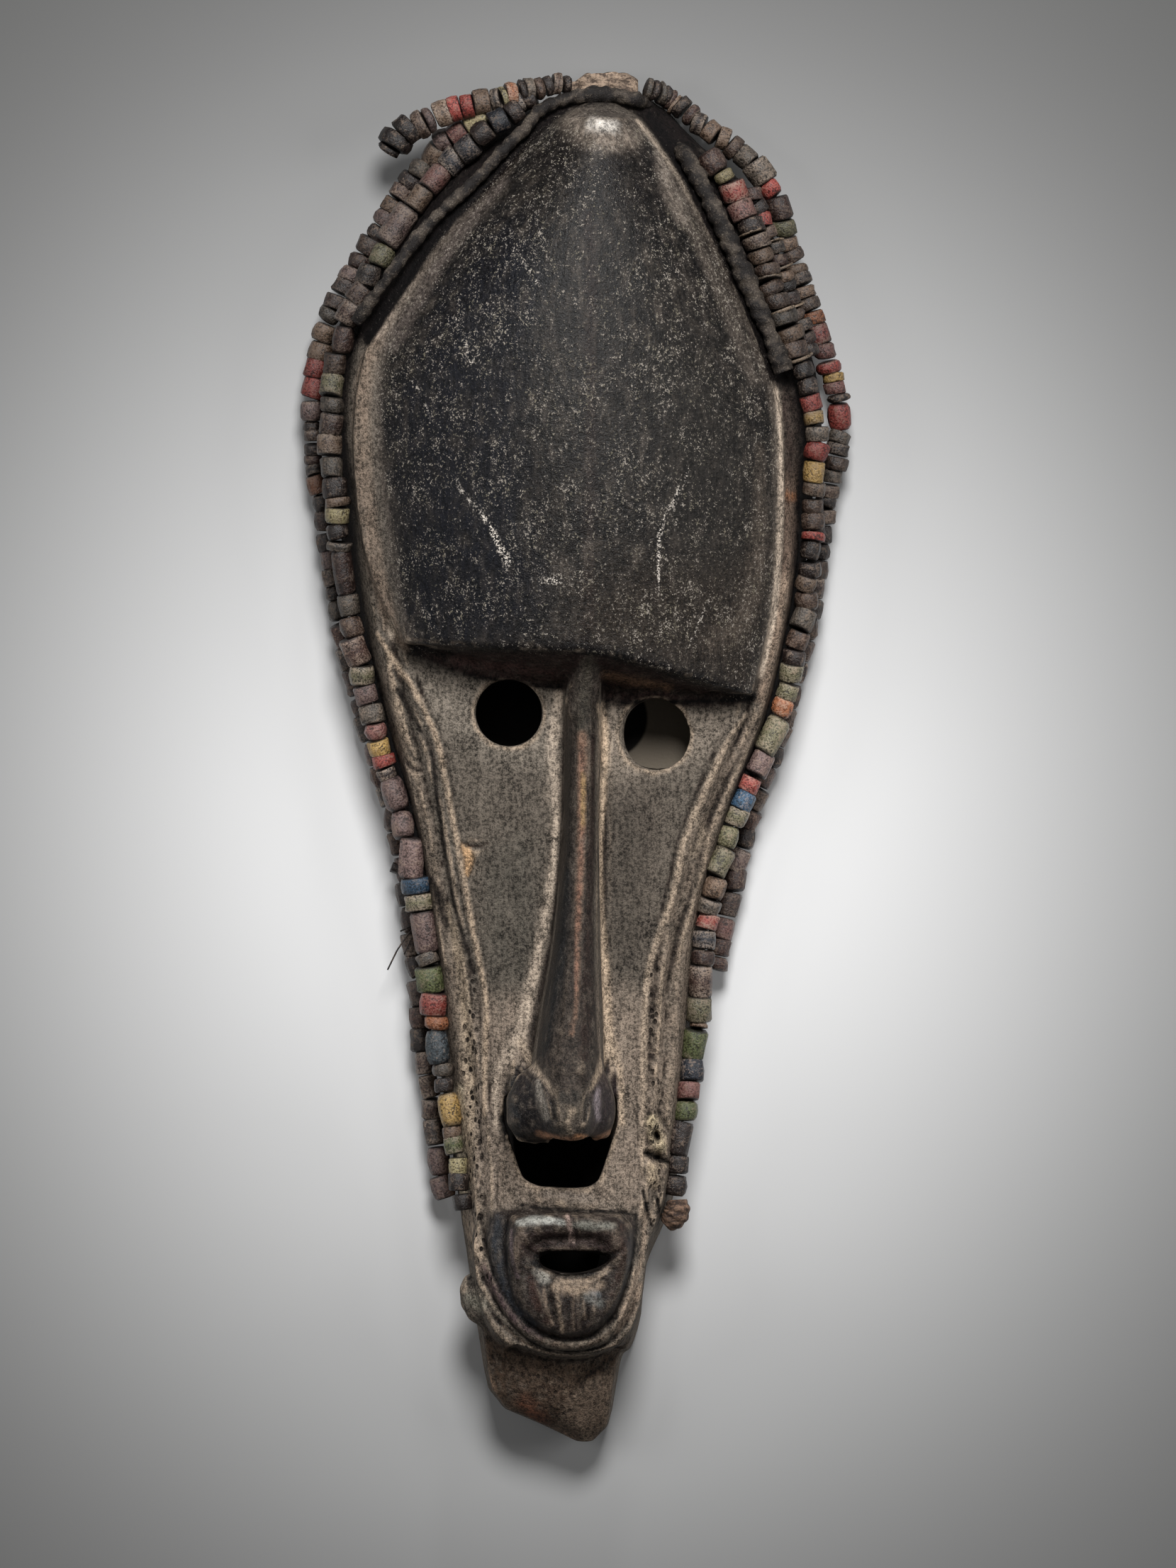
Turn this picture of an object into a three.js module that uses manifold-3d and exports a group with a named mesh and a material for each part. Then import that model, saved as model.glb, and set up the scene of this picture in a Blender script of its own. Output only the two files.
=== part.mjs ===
// A long carved wooden face mask that lies on its back rim, face up: the crown towards +Y, the chin
// towards -Y, the face towards +Z. Millimetres. The origin is under the middle of its outline.
// Strings of old beads, a dark cord and a hide strip are bound round the outside of the wood.
import * as THREE from "three";
import { mergeVertices } from "three/addons/utils/BufferGeometryUtils.js";
import Module from "manifold-3d";

const wasm = await Module();
wasm.setup();

// The whole mask.
const CROWN_Y = 241; // top end of the wood
const CHIN_Y = -248.5; // tip of the chin
const WALL = 10; // thickness of the carved shell
const RIM_INSET = 11; // width of the flat back rim
const RIM_LIP = 4; // height at which the side wall starts
const KNEE = { inset: 1.5, height: 16 }; // where the upright foot of the side wall starts to slope in

// The eyes, the nose and the mouth.
const EYES = [
  { x: -23.8, y: 16.2, radius: 12.2, stretch: 1.0, lean: 0 },
  { x: 28.1, y: 8.5, radius: 11.9, stretch: 1.1, lean: -0.22 },
];
const NOSE_TOP_Y = 36.5;
const NOSE_TIP_Y = -140;
const NOSE_BACK_TIP_Y = -127;
const MOUTH_Y = -182.5;

// Bead strings and cords, and the gap that they keep to their neighbours.
const BEAD_RADIUS = 4.1;
const JOINT_RADIUS = 3.2; // of a string where two beads meet
const CORD_RADIUS = 3.2;
const GAP = 0.4;
const STRING_SIDES = 5;
const CORD_SIDES = 8;

// Detail of the joined wood that is finer than this is dropped.
const FINEST = 0.05;

const LEFT = -1;
const RIGHT = 1;
const lerp = THREE.MathUtils.lerp;
const clamp = THREE.MathUtils.clamp;

// The smooth curve through [position, value] pairs, as a function of the position.
function profile(pairs) {
  const sorted = [...pairs].sort((a, b) => a[0] - b[0]);
  const positions = sorted.map((pair) => pair[0]);
  const values = sorted.map((pair) => pair[1]);
  const curve = new THREE.CubicInterpolant(positions, values, 1);
  return (at) => curve.evaluate(clamp(at, positions[0], positions.at(-1)))[0];
}

// Outline of the wood at the back rim, as [y, x] on each side.
const outline = {
  [LEFT]: profile([
    [241, -5], [238, -13], [230, -28], [221, -42], [211, -53], [195, -65], [183, -72.5],
    [165, -83], [143, -90], [121, -91.5], [98, -87.5], [75, -84.5], [43, -79], [12, -71.5],
    [-18, -62], [-50, -55.8], [-80, -52], [-111, -49.5], [-142, -44.8], [-160, -42.5],
    [-183, -39], [-207, -35.5], [-229, -31.5], [-235, -28.5], [-240, -17], [-245, -6], [-248.5, 1],
  ]),
  [RIGHT]: profile([
    [241, 24], [236, 33], [225, 43], [214, 56.5], [204, 65.5], [194, 70.5], [183, 74.8],
    [165, 80.3], [146, 86.5], [121, 90.5], [97, 86.8], [75, 84.8], [43, 79], [12, 71.5],
    [-18, 60], [-50, 51], [-80, 46], [-111, 42.5], [-142, 38.5], [-160, 36], [-172, 31.5],
    [-180, 27], [-190, 25.3], [-200, 24.6], [-212, 22], [-219, 17.2], [-232, 14.5], [-243, 12],
    [-248.5, 6.5],
  ]),
};
// How far the side wall slopes in on each side.
const wallRun = {
  [LEFT]: profile([
    [241, 8], [225, 14], [200, 14], [165, 14], [120, 14], [90, 11], [60, 8], [20, 6.5],
    [-20, 4.5], [-60, 4.5], [-110, 7], [-150, 7], [-180, 4], [-248.5, 2],
  ]),
  [RIGHT]: profile([
    [241, 8], [225, 16], [200, 21], [165, 21], [120, 17], [90, 9], [60, 5], [20, 4.5],
    [-20, 5], [-60, 7], [-110, 5.5], [-160, 4], [-180, 3], [-248.5, 2],
  ]),
};
// How far each string stands off the wall, beyond just touching it.
const standOff = {
  [LEFT]: profile([[231, 0], [140, 0], [105, 1.5], [60, 1], [12, 0.5], [-40, 1], [-100, 1.5], [-163, 1]]),
  [RIGHT]: profile([[236, 0], [150, 0.5], [118, 2.5], [90, 0.5], [40, 0.5], [-20, 0], [-50, 1.5], [-90, 0]]),
};
const bandWidth = profile([[241, 6], [100, 11], [0, 12], [-60, 10.5], [-150, 8.5], [-248.5, 5]]);
// Heights of the top of the side wall and of the flat of the face down its middle.
const shoulderHeight = profile([
  [241, 11], [232, 18], [218, 25], [200, 30], [170, 34], [120, 37], [60, 36], [0, 34],
  [-100, 34], [-160, 36], [-190, 33], [-215, 29], [-235, 25], [-248.5, 15],
]);
const faceHeight = profile([
  [241, 14], [225, 28], [200, 38], [120, 46], [45, 46], [20, 45], [-40, 47], [-100, 49],
  [-150, 51.5], [-165, 52], [-180, 50], [-195, 46], [-215, 39.5], [-232, 34], [-242, 27], [-248.5, 20],
]);
// How strongly the two ridges down each side stand out, from 0 to 1.
const ridgeStrength = profile([
  [120, 0], [95, 0.2], [60, 1], [10, 1], [-100, 1], [-150, 1], [-180, 0.6], [-200, 0],
]);

// The underside is flat, but turns up under the chin.
function undersideHeight(y) {
  return 9 * clamp((-220 - y) / 28.5, 0, 1) ** 1.5;
}

// A closed mesh with its vertices merged, as a solid that can be joined and cut.
function solidOf(geometry) {
  const bare = geometry.clone();
  bare.deleteAttribute("normal");
  bare.deleteAttribute("uv");
  const merged = mergeVertices(bare, 1e-3);
  return new wasm.Manifold(new wasm.Mesh({
    numProp: 3,
    vertProperties: new Float32Array(merged.attributes.position.array),
    triVerts: new Uint32Array(merged.index.array),
  }));
}

function geometryOf(solid) {
  const mesh = solid.getMesh();
  const geometry = new THREE.BufferGeometry();
  geometry.setAttribute("position", new THREE.BufferAttribute(mesh.vertProperties, 3));
  geometry.setIndex(new THREE.BufferAttribute(mesh.triVerts, 1));
  geometry.computeVertexNormals();
  return geometry;
}

// A box of columns by rows whose points are placed by a function of (column, v, front).
function carvedBlock(columns, rows, place) {
  const block = new THREE.BoxGeometry(1, 1, 1, columns, rows, 1);
  const position = block.attributes.position;
  for (let i = 0; i < position.count; i++) {
    const column = Math.round((position.getX(i) + 0.5) * columns);
    const point = place(column, position.getY(i) + 0.5, position.getZ(i) > 0);
    position.setXYZ(i, point[0], point[1], point[2]);
  }
  return block;
}

// Rows lie closer together near the two ends, where the outline turns.
function rowHeight(v, low, high) {
  const evenShare = 0.45;
  const eased = (1 - Math.cos(Math.PI * v)) / 2;
  return lerp(low, high, evenShare * v + (1 - evenShare) * eased);
}

// The wall, its shoulder and the two ridges on one side at height y, as [inset, z] from the rim in.
function sidePoints(side, y) {
  const run = wallRun[side](y);
  const shoulder = shoulderHeight(y);
  const ridge = 1.6 * ridgeStrength(y);
  const band = bandWidth(y);
  const faceEdge = lerp(shoulder, faceHeight(y), 0.35);
  const foot = undersideHeight(y);
  return [
    [0, Math.min(RIM_LIP + foot, shoulder - 4)],
    [Math.min(KNEE.inset, run * 0.4), Math.min(KNEE.height + foot, shoulder * 0.6)],
    [run, shoulder],
    [run + 0.27 * band, shoulder + 0.8 + ridge],
    [run + 0.5 * band, shoulder + 1.2 - 0.6 * ridge],
    [run + 0.73 * band, faceEdge + ridge],
    [run + band, faceEdge],
  ];
}

// The outside of the shell: the walls, two ridges down each side and the flat of the face.
function shellBlock() {
  const columns = 18;
  const rows = 42;
  return carvedBlock(columns, rows, (column, v, front) => {
    const y = rowHeight(v, CHIN_Y, CROWN_Y);
    const left = outline[LEFT](y);
    const right = outline[RIGHT](y);
    if (!front) return [lerp(left, right, column / columns), y, undersideHeight(y)];
    const squeeze = Math.min(1, (right - left) / 70);
    const side = column < columns / 2 ? LEFT : RIGHT;
    const points = sidePoints(side, y);
    const fromEdge = Math.min(column, columns - column);
    if (fromEdge < points.length) {
      const [inset, z] = points[fromEdge];
      return [outline[side](y) - side * inset * squeeze, y, z];
    }
    const [insetLeft, faceEdge] = sidePoints(LEFT, y).at(-1);
    const [insetRight] = sidePoints(RIGHT, y).at(-1);
    const across = (column - points.length + 1) / (columns - 2 * points.length + 2);
    const bulge = 1 - (2 * across - 1) ** 2;
    const x = lerp(left + insetLeft * squeeze, right - insetRight * squeeze, across);
    return [x, y, lerp(faceEdge, faceHeight(y), bulge)];
  });
}

// The hollow behind the face, open at the back, and its height along its middle.
const HOLLOW = { top: CROWN_Y - 12, bottom: -206 };
const hollowHeight = profile([
  [229, 10], [215, 25], [190, 42], [150, 54], [110, 59], [70, 58], [52, 51], [34, 38],
  [15, 36], [-60, 39], [-120, 42], [-170, 41], [-190, 35], [-206, 18],
]);

function hollowBlock() {
  const columns = 8;
  const rows = 20;
  return carvedBlock(columns, rows, (column, v, front) => {
    const y = rowHeight(v, HOLLOW.bottom, HOLLOW.top);
    const left = outline[LEFT](y) + RIM_INSET;
    const right = outline[RIGHT](y) - RIM_INSET;
    if (!front) return [lerp(left, right, column / columns), y, -1];
    const ceiling = hollowHeight(y);
    const spring = Math.max(4, Math.min(shoulderHeight(y) - WALL, ceiling * 0.75));
    const across = (column - 1) / (columns - 2);
    if (across < 0) return [left, y, 2];
    if (across > 1) return [right, y, 2];
    const leftFoot = left + wallRun[LEFT](y) * 0.6;
    const rightFoot = right - wallRun[RIGHT](y) * 0.6;
    const bulge = Math.sqrt(Math.max(0, 1 - (2 * across - 1) ** 2));
    return [lerp(leftFoot, rightFoot, across), y, lerp(spring, ceiling, bulge)];
  });
}

// The raised leaf-shaped forehead: domed, faintly keeled, bevelled at its edge, cut off at the brow.
const FOREHEAD = { apex: 238, leftCorner: -62.5, rightCorner: 64.5, keel: 2, bevelDepth: 6 };
const foreheadLeft = profile([
  [238, 4], [236, -1], [233, -5.5], [228.5, -10], [219, -20], [211, -27], [192.9, -44.5],
  [170, -62], [151.5, -74.5], [127, -80], [104, -80], [76, -76.5], [59, -71], [41.2, -62.5],
]);
const foreheadRight = profile([
  [238, 14], [236, 19], [233, 23.5], [228.5, 27.5], [219, 34], [210, 39.5], [190, 49.5],
  [164.4, 60.8], [144.4, 69.2], [124.5, 74.8], [104.5, 76], [76, 75.4], [53.2, 71.9],
  [24.7, 64.6],
]);
const browLine = profile([
  [-62.5, 41.2], [-43.7, 40.5], [-26.6, 39.5], [-9.5, 39], [7.6, 38], [19, 35.5], [33.3, 31.6],
  [47.5, 27], [64.5, 22.4],
]);
const foreheadCrown = profile([
  [0, 36], [0.03, 43], [0.09, 50], [0.2, 58], [0.4, 67], [0.6, 72], [0.8, 74], [1, 73],
]);
const foreheadEdge = profile([[0, 29], [0.1, 36], [0.3, 42], [0.6, 46], [0.85, 48], [1, 51]]);
const bevelWidth = {
  [LEFT]: profile([[0, 2], [0.15, 4], [0.35, 6], [0.55, 9], [0.8, 8], [0.93, 5], [1, 1.5]]),
  [RIGHT]: profile([[0, 2], [0.15, 3.5], [0.5, 4.5], [1, 4.5]]),
};

function foreheadBlock() {
  const columns = 14;
  const rows = 17;
  const { apex, leftCorner, rightCorner, keel, bevelDepth } = FOREHEAD;
  const browLean = 26; // how far the brow's wall leans out on its way down to the back of the block
  return carvedBlock(columns, rows, (column, v, front) => {
    const down = 1 - rowHeight(v, 0, 1);
    const left = foreheadLeft(lerp(apex, browLine(leftCorner), down));
    const right = foreheadRight(lerp(apex, browLine(rightCorner), down));
    const inner = clamp((column - 1) / (columns - 2), 0, 1);
    const bevelled = lerp(left + bevelWidth[LEFT](down), right - bevelWidth[RIGHT](down), inner);
    const onEdge = column === 0 || column === columns;
    const x = onEdge ? lerp(left, right, inner) : bevelled;
    const y = lerp(apex, browLine(x), down);
    const across = Math.abs(2 * inner - 1);
    if (!front) return [x, y - browLean * down ** 12 * Math.min(1, 1.4 * (1 - across)), 8];
    const crown = foreheadCrown(down) + keel * (1 - across) ** 2;
    const rim = foreheadEdge(down);
    if (onEdge || v === 1) return [x, y, Math.max(rim - bevelDepth, 16)];
    return [x, y, lerp(crown, rim, across ** 2.4)];
  });
}

// The long straight nose, from a point under the brow down to a broad tip that hangs over the gap.
const noseLeft = profile([
  [36.5, 2.5], [30, -0.6], [20, -2.9], [-20, -4.2], [-40, -5.6], [-67, -8.5], [-81, -11],
  [-95, -13.5], [-108, -15.5], [-130, -16.5], [-140, -10],
]);
const noseRight = profile([
  [36.5, 7.5], [30, 9], [20, 9.8], [-20, 8.8], [-40, 8.9], [-67, 9.3], [-81, 9.8],
  [-95, 10.2], [-108, 10.6], [-130, 10.2], [-140, 7],
]);
const noseRise = profile([
  [36.5, 7], [30, 13], [10, 17], [-40, 22], [-100, 33], [-122, 39], [-132, 39], [-140, 31],
]);

function noseBlock() {
  const columns = 8;
  const rows = 14;
  // Share of the way from the nose's foot to its ridge, and of its height there.
  const section = [[0, -0.1], [0.1, 0.45], [0.32, 0.82], [0.66, 0.97], [1, 1]];
  return carvedBlock(columns, rows, (column, v, front) => {
    const y = rowHeight(v, NOSE_TIP_Y, NOSE_TOP_Y);
    const foot = column <= columns / 2 ? noseLeft(y) : noseRight(y);
    const ridge = lerp(noseLeft(y), noseRight(y), 0.58);
    const [toRidge, rise] = section[Math.min(column, columns - column)];
    const x = lerp(foot, ridge, toRidge);
    const base = faceHeight(y);
    if (front) return [x, y, base + rise * noseRise(y)];
    const down = (NOSE_TOP_Y - y) / (NOSE_TOP_Y - NOSE_TIP_Y);
    return [x, lerp(NOSE_TOP_Y, NOSE_BACK_TIP_Y, down), base - 6];
  });
}

// A rounded lump of the carving, turned about the Z axis.
function lump({ at, size, turn = 0, across = 10, down = 7 }) {
  return new THREE.SphereGeometry(1, across, down)
    .rotateX(Math.PI / 2)
    .scale(...size)
    .rotateZ(turn)
    .translate(...at);
}
const NOSE_WINGS = [
  { at: [-14.2, -125.5, 58], size: [11.2, 15.5, 17], turn: -0.22 },
  { at: [7.4, -125, 58], size: [8.4, 14.5, 16], turn: 0.18 },
];
const LOWER_LIP = { at: [-2.5, -196, 52], size: [15.5, 12.5, 9], turn: 0.05 };
const SIDE_KNOB = { at: [-35, -196.5, 28], size: [7, 10.5, 9], turn: 0.3 };

// A smooth closed outline through the points.
function smoothShape(points, steps) {
  const curve = new THREE.CatmullRomCurve3(
    points.map(([x, y]) => new THREE.Vector3(x, y, 0)), true, "centripetal",
  );
  return new THREE.Shape(curve.getSpacedPoints(steps).slice(0, -1).map((p) => new THREE.Vector2(p.x, p.y)));
}

// A boss with rounded edges and a nearly flat top, tipped about the X axis.
function boss({ points, steps, top, thick, round, tip }) {
  const centreY = points.reduce((sum, point) => sum + point[1], 0) / points.length;
  return new THREE.ExtrudeGeometry(smoothShape(points, steps), {
    depth: thick - round,
    bevelThickness: round,
    bevelSize: round,
    bevelOffset: -round,
    bevelSegments: 2,
  })
    .translate(0, -centreY, -thick)
    .rotateX(tip)
    .translate(0, centreY, top);
}

// The muzzle round the mouth, and the two carved collars that sweep under it from the side ridges.
const MUZZLE = {
  points: [
    [-23, -165], [-10, -164.3], [8, -164.3], [19.5, -165], [20.5, -180], [17, -195], [9, -206],
    [-2, -210], [-13, -206.5], [-21, -197], [-24.5, -183],
  ],
  steps: 20, top: 57, thick: 20, round: 5, tip: -0.06,
};
const COLLARS = [
  {
    points: [
      [-30, -164.5], [-5, -163.8], [22, -164.5], [23.3, -180], [20.5, -196], [13, -210],
      [-1, -215.5], [-17, -211], [-27, -200], [-31.5, -182],
    ],
    steps: 18, top: 48.5, thick: 14, round: 3, tip: -0.17,
  },
  {
    points: [
      [-35, -165], [-5, -163.8], [26, -165], [26, -182], [24, -198], [17, -213], [0, -220.5],
      [-20, -217], [-32, -205], [-36.5, -184],
    ],
    steps: 18, top: 43, thick: 14, round: 3, tip: -0.17,
  },
];

// The five-sided gap carved right through the wood under the nose.
const NOSE_GAP = [
  [-25.5, -122], [-25.8, -131], [-18.8, -152.5], [-13, -155.3], [4.5, -155.6], [8.6, -153.5],
  [15.4, -132], [15, -122],
];
// The mouth is a slot with a straight upper edge and a sagging lower one.
const MOUTH = [
  [-14.6, 2.2], [-9, 3.6], [8, 3.4], [14, 1.2], [9, -2.4], [0, -4.6], [-7, -4], [-12, -1.4],
].map(([x, y]) => [x, y + MOUTH_Y]);

// A cut right through the mask, with the outline given by its corner points.
function cutThrough(points) {
  const shape = new THREE.Shape(points.map(([x, y]) => new THREE.Vector2(x, y)));
  const low = -1;
  const high = 120;
  return new THREE.ExtrudeGeometry(shape, { depth: high - low, bevelEnabled: false }).translate(0, 0, low);
}

function eyeHole({ x, y, radius, stretch, lean }) {
  const depth = 120;
  const pivotHeight = 45;
  return new THREE.CylinderGeometry(radius, radius, depth, 20)
    .rotateX(Math.PI / 2)
    .scale(1, stretch, 1)
    .rotateY(lean)
    .translate(x, y, pivotHeight);
}

// The arched upper lip that frames the mouth.
const UPPER_LIP = {
  route: [
    [-20.5, -195, 53], [-20.8, -184, 54.5], [-19.5, -174, 56], [-15, -169.8, 56.6], [-4, -169.1, 57],
    [8, -169.3, 56.6], [14, -172, 56], [16.4, -182, 54.5], [14, -194, 53],
  ],
  radii: [2, 3.2, 4, 4.4, 4.4, 4.4, 4.4, 4.4, 4, 3.2, 2],
  sides: 8,
};

// A tube along a route, with its radius given ring by ring.
function tubeAlong({ route, radii, sides }) {
  const curve = new THREE.CatmullRomCurve3(route.map((p) => new THREE.Vector3(...p)), false, "centripetal");
  const steps = radii.length - 1;
  const up = new THREE.Vector3(0, 0, 1);
  const tube = new THREE.CylinderGeometry(1, 1, 1, sides, steps);
  const position = tube.attributes.position;
  for (let i = 0; i < position.count; i++) {
    const ring = Math.round((0.5 - position.getY(i)) * steps);
    const centre = curve.getPointAt(ring / steps);
    const ahead = curve.getTangentAt(ring / steps);
    const across = new THREE.Vector3().crossVectors(up, ahead).normalize();
    const rise = new THREE.Vector3().crossVectors(ahead, across);
    centre.addScaledVector(across, position.getX(i) * radii[ring]);
    centre.addScaledVector(rise, position.getZ(i) * radii[ring]);
    position.setXYZ(i, centre.x, centre.y, centre.z);
  }
  return tube;
}

function routeLength(route) {
  return new THREE.CatmullRomCurve3(route.map((p) => new THREE.Vector3(...p)), false, "centripetal").getLength();
}

// Short beads threaded on a string: each is full at its middle and drawn in at its ends.
function beadString(route, pitch) {
  const beads = Math.round(routeLength(route) / pitch);
  const radii = [JOINT_RADIUS];
  for (let bead = 0; bead < beads; bead++) radii.push(BEAD_RADIUS, JOINT_RADIUS);
  return tubeAlong({ route, radii, sides: STRING_SIDES });
}

function plainCord(route) {
  const pitch = 8;
  const radii = new Array(Math.round(routeLength(route) / pitch) + 1).fill(CORD_RADIUS);
  return tubeAlong({ route, radii, sides: CORD_SIDES });
}

// A point on the side wall: level 0 is the rim lip, 1 the knee and 2 the shoulder.
function wallPoint(side, y, level) {
  const points = sidePoints(side, y);
  const below = points[Math.min(1, Math.floor(level))];
  const above = points[Math.min(1, Math.floor(level)) + 1];
  const share = level - Math.min(1, Math.floor(level));
  const inset = lerp(below[0], above[0], share);
  return new THREE.Vector3(outline[side](y) - side * inset, y, lerp(below[1], above[1], share));
}

// The same point moved straight out of the wood.
function againstWall(side, y, level, away) {
  const step = 0.05;
  const here = wallPoint(side, y, level);
  const upTheMask = wallPoint(side, y + 1, level).sub(wallPoint(side, y - 1, level));
  const upTheWall = wallPoint(side, y, level + step).sub(wallPoint(side, y, level - step));
  const out = new THREE.Vector3().crossVectors(upTheMask, upTheWall).normalize();
  if (out.x * side < 0) out.negate();
  return here.addScaledVector(out, away).toArray();
}

// The route of a string that lies against the side wall, its points closer together at the crown.
function wallRoute({ side, level, from, to }) {
  const steps = 24;
  return Array.from({ length: steps + 1 }, (_, step) => {
    const y = lerp(from, to, (step / steps) ** 1.5);
    return againstWall(side, y, level, BEAD_RADIUS + GAP + standOff[side](y));
  });
}

const STRINGS = [
  { name: "left_outer_bead_string", pitch: 10.5, wall: { side: LEFT, level: 0.5, from: 231, to: -159 } },
  { name: "left_inner_bead_string", pitch: 10.5, wall: { side: LEFT, level: 1.45, from: 214, to: -163 } },
  { name: "right_outer_bead_string", pitch: 10, wall: { side: RIGHT, level: 0.5, from: 236, to: -76 } },
  { name: "right_inner_bead_string", pitch: 10.5, wall: { side: RIGHT, level: 1.45, from: 211, to: -158 } },
];
// The short string over the crown, whose end stands out to the left.
const CROWN_STRING = [
  [-9.5, 244.3, 12], [-19, 241, 17], [-30, 236.6, 21], [-41, 232.6, 22.5], [-54, 228, 22.5],
  [-69, 221, 20],
];

// Height of the outside of the shell, without the forehead, at a point inside its outline.
function shellHeight(x, y) {
  const side = x < (outline[LEFT](y) + outline[RIGHT](y)) / 2 ? LEFT : RIGHT;
  const inset = side * (outline[side](y) - x);
  const points = sidePoints(side, y);
  const next = points.findIndex((point) => point[0] > inset);
  if (next < 1) return points.at(-1)[1];
  const share = (inset - points[next - 1][0]) / (points[next][0] - points[next - 1][0]);
  return lerp(points[next - 1][1], points[next][1], share);
}

// How much further up than straight out a thing has to move to keep clear of the shell there.
function shellSteepness(x, y) {
  const step = 2;
  const slopeX = (shellHeight(x + step, y) - shellHeight(x - step, y)) / (2 * step);
  const slopeY = (shellHeight(x, y + step) - shellHeight(x, y - step)) / (2 * step);
  return Math.hypot(1, slopeX, slopeY);
}

// The dark cord lies on the shell beside the edge of the forehead and goes round its top.
const CORD_EDGE = { [LEFT]: foreheadLeft, [RIGHT]: foreheadRight };
const CORD_SPACE = { [LEFT]: 2.2, [RIGHT]: 1.6 }; // between the cord and the forehead
function cordSide({ side, from, to }) {
  const steps = 10;
  return Array.from({ length: steps + 1 }, (_, step) => {
    const y = lerp(from, to, step / steps);
    const slope = (CORD_EDGE[side](y + 1) - CORD_EDGE[side](y - 1)) / 2;
    const x = CORD_EDGE[side](y) + side * (CORD_RADIUS + CORD_SPACE[side]) * Math.hypot(1, slope);
    return [x, y, shellHeight(x, y) + (CORD_RADIUS + 2 * GAP) * shellSteepness(x, y)];
  });
}
const CORD_ROUTE = [
  ...cordSide({ side: LEFT, from: 158, to: 228 }),
  [-10, 238.5, 20.5], [-1, 242, 18.5], [9, 242.9, 18], [19, 242, 18.5], [27, 238.5, 20.5],
  ...cordSide({ side: RIGHT, from: 228, to: 140 }),
];

// The leather wound round the lower end of the right inner string.
const WRAP_RADII = [3.4, 4.3, 4.4, 3.6, 2.2];
function endWrap() {
  const top = STRINGS.find(({ name }) => name === "right_inner_bead_string").wall;
  const belowString = 1.5;
  const pitch = 2.3;
  const route = WRAP_RADII.map((radius, ring) => {
    return againstWall(top.side, top.to - belowString - pitch * ring, top.level, radius + GAP);
  });
  return tubeAlong({ route, radii: WRAP_RADII, sides: CORD_SIDES });
}

function carvedMask() {
  let wood = solidOf(shellBlock()).add(solidOf(foreheadBlock())).add(solidOf(boss(MUZZLE)));
  for (const collar of COLLARS) wood = wood.add(solidOf(boss(collar)));
  for (const detail of [LOWER_LIP, SIDE_KNOB]) wood = wood.add(solidOf(lump(detail)));
  wood = wood
    .add(solidOf(tubeAlong(UPPER_LIP)))
    .subtract(solidOf(hollowBlock()))
    .subtract(solidOf(cutThrough(NOSE_GAP)))
    .subtract(solidOf(cutThrough(MOUTH)));
  for (const eye of EYES) wood = wood.subtract(solidOf(eyeHole(eye)));
  wood = wood.add(solidOf(noseBlock()));
  for (const wing of NOSE_WINGS) wood = wood.add(solidOf(lump(wing)));
  return geometryOf(wood.simplify(FINEST));
}

// A folded strip of hide against the end of the crown, between the ends of the strings.
function hideStrip() {
  const columns = 8;
  return carvedBlock(columns, 2, (column, v, front) => {
    const across = column / columns;
    const arch = 1 - (2 * across - 1) ** 2;
    const y = CROWN_Y + GAP + lerp(0, 6.4 + 0.8 * arch, v);
    return [lerp(-4, 23, across), y, front ? 10.5 + 2.5 * arch - 1.5 * v : 3];
  });
}

const WOOD = new THREE.MeshStandardMaterial({ color: 0x3a332d, roughness: 0.7, metalness: 0 });
const CLAY_BEADS = new THREE.MeshStandardMaterial({ color: 0x55463d, roughness: 0.6, metalness: 0 });
const DARK_CORD = new THREE.MeshStandardMaterial({ color: 0x2c2926, roughness: 0.85, metalness: 0 });
const HIDE = new THREE.MeshStandardMaterial({ color: 0x6b5540, roughness: 0.9, metalness: 0 });

function piece(name, geometry, material) {
  const mesh = new THREE.Mesh(geometry, material);
  mesh.name = name;
  return mesh;
}

const mask = new THREE.Group();
mask.add(piece("carved_mask", carvedMask(), WOOD));
for (const { name, pitch, wall } of STRINGS) {
  mask.add(piece(name, beadString(wallRoute(wall), pitch), CLAY_BEADS));
}
mask.add(piece("crown_bead_string", beadString(CROWN_STRING, 9), CLAY_BEADS));
mask.add(piece("forehead_cord", plainCord(CORD_ROUTE), DARK_CORD));
mask.add(piece("crown_hide_strip", hideStrip(), HIDE));
mask.add(piece("right_string_end_wrap", endWrap(), HIDE));

export default mask;
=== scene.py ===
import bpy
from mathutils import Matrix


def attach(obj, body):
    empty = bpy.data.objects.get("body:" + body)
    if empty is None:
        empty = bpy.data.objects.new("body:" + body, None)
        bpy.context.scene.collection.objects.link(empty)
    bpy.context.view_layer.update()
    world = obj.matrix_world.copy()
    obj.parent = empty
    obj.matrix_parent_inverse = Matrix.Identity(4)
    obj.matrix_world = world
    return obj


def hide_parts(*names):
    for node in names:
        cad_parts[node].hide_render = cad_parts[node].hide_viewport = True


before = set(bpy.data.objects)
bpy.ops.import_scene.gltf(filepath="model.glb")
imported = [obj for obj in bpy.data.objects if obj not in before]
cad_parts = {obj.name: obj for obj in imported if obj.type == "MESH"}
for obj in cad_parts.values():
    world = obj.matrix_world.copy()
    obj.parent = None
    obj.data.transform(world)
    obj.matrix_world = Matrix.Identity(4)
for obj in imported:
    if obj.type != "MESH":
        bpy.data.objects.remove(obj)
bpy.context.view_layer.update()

import math
import random

import bmesh
import bpy
import numpy as np
from mathutils import Matrix, Vector, noise
from mathutils.kdtree import KDTree


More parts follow.
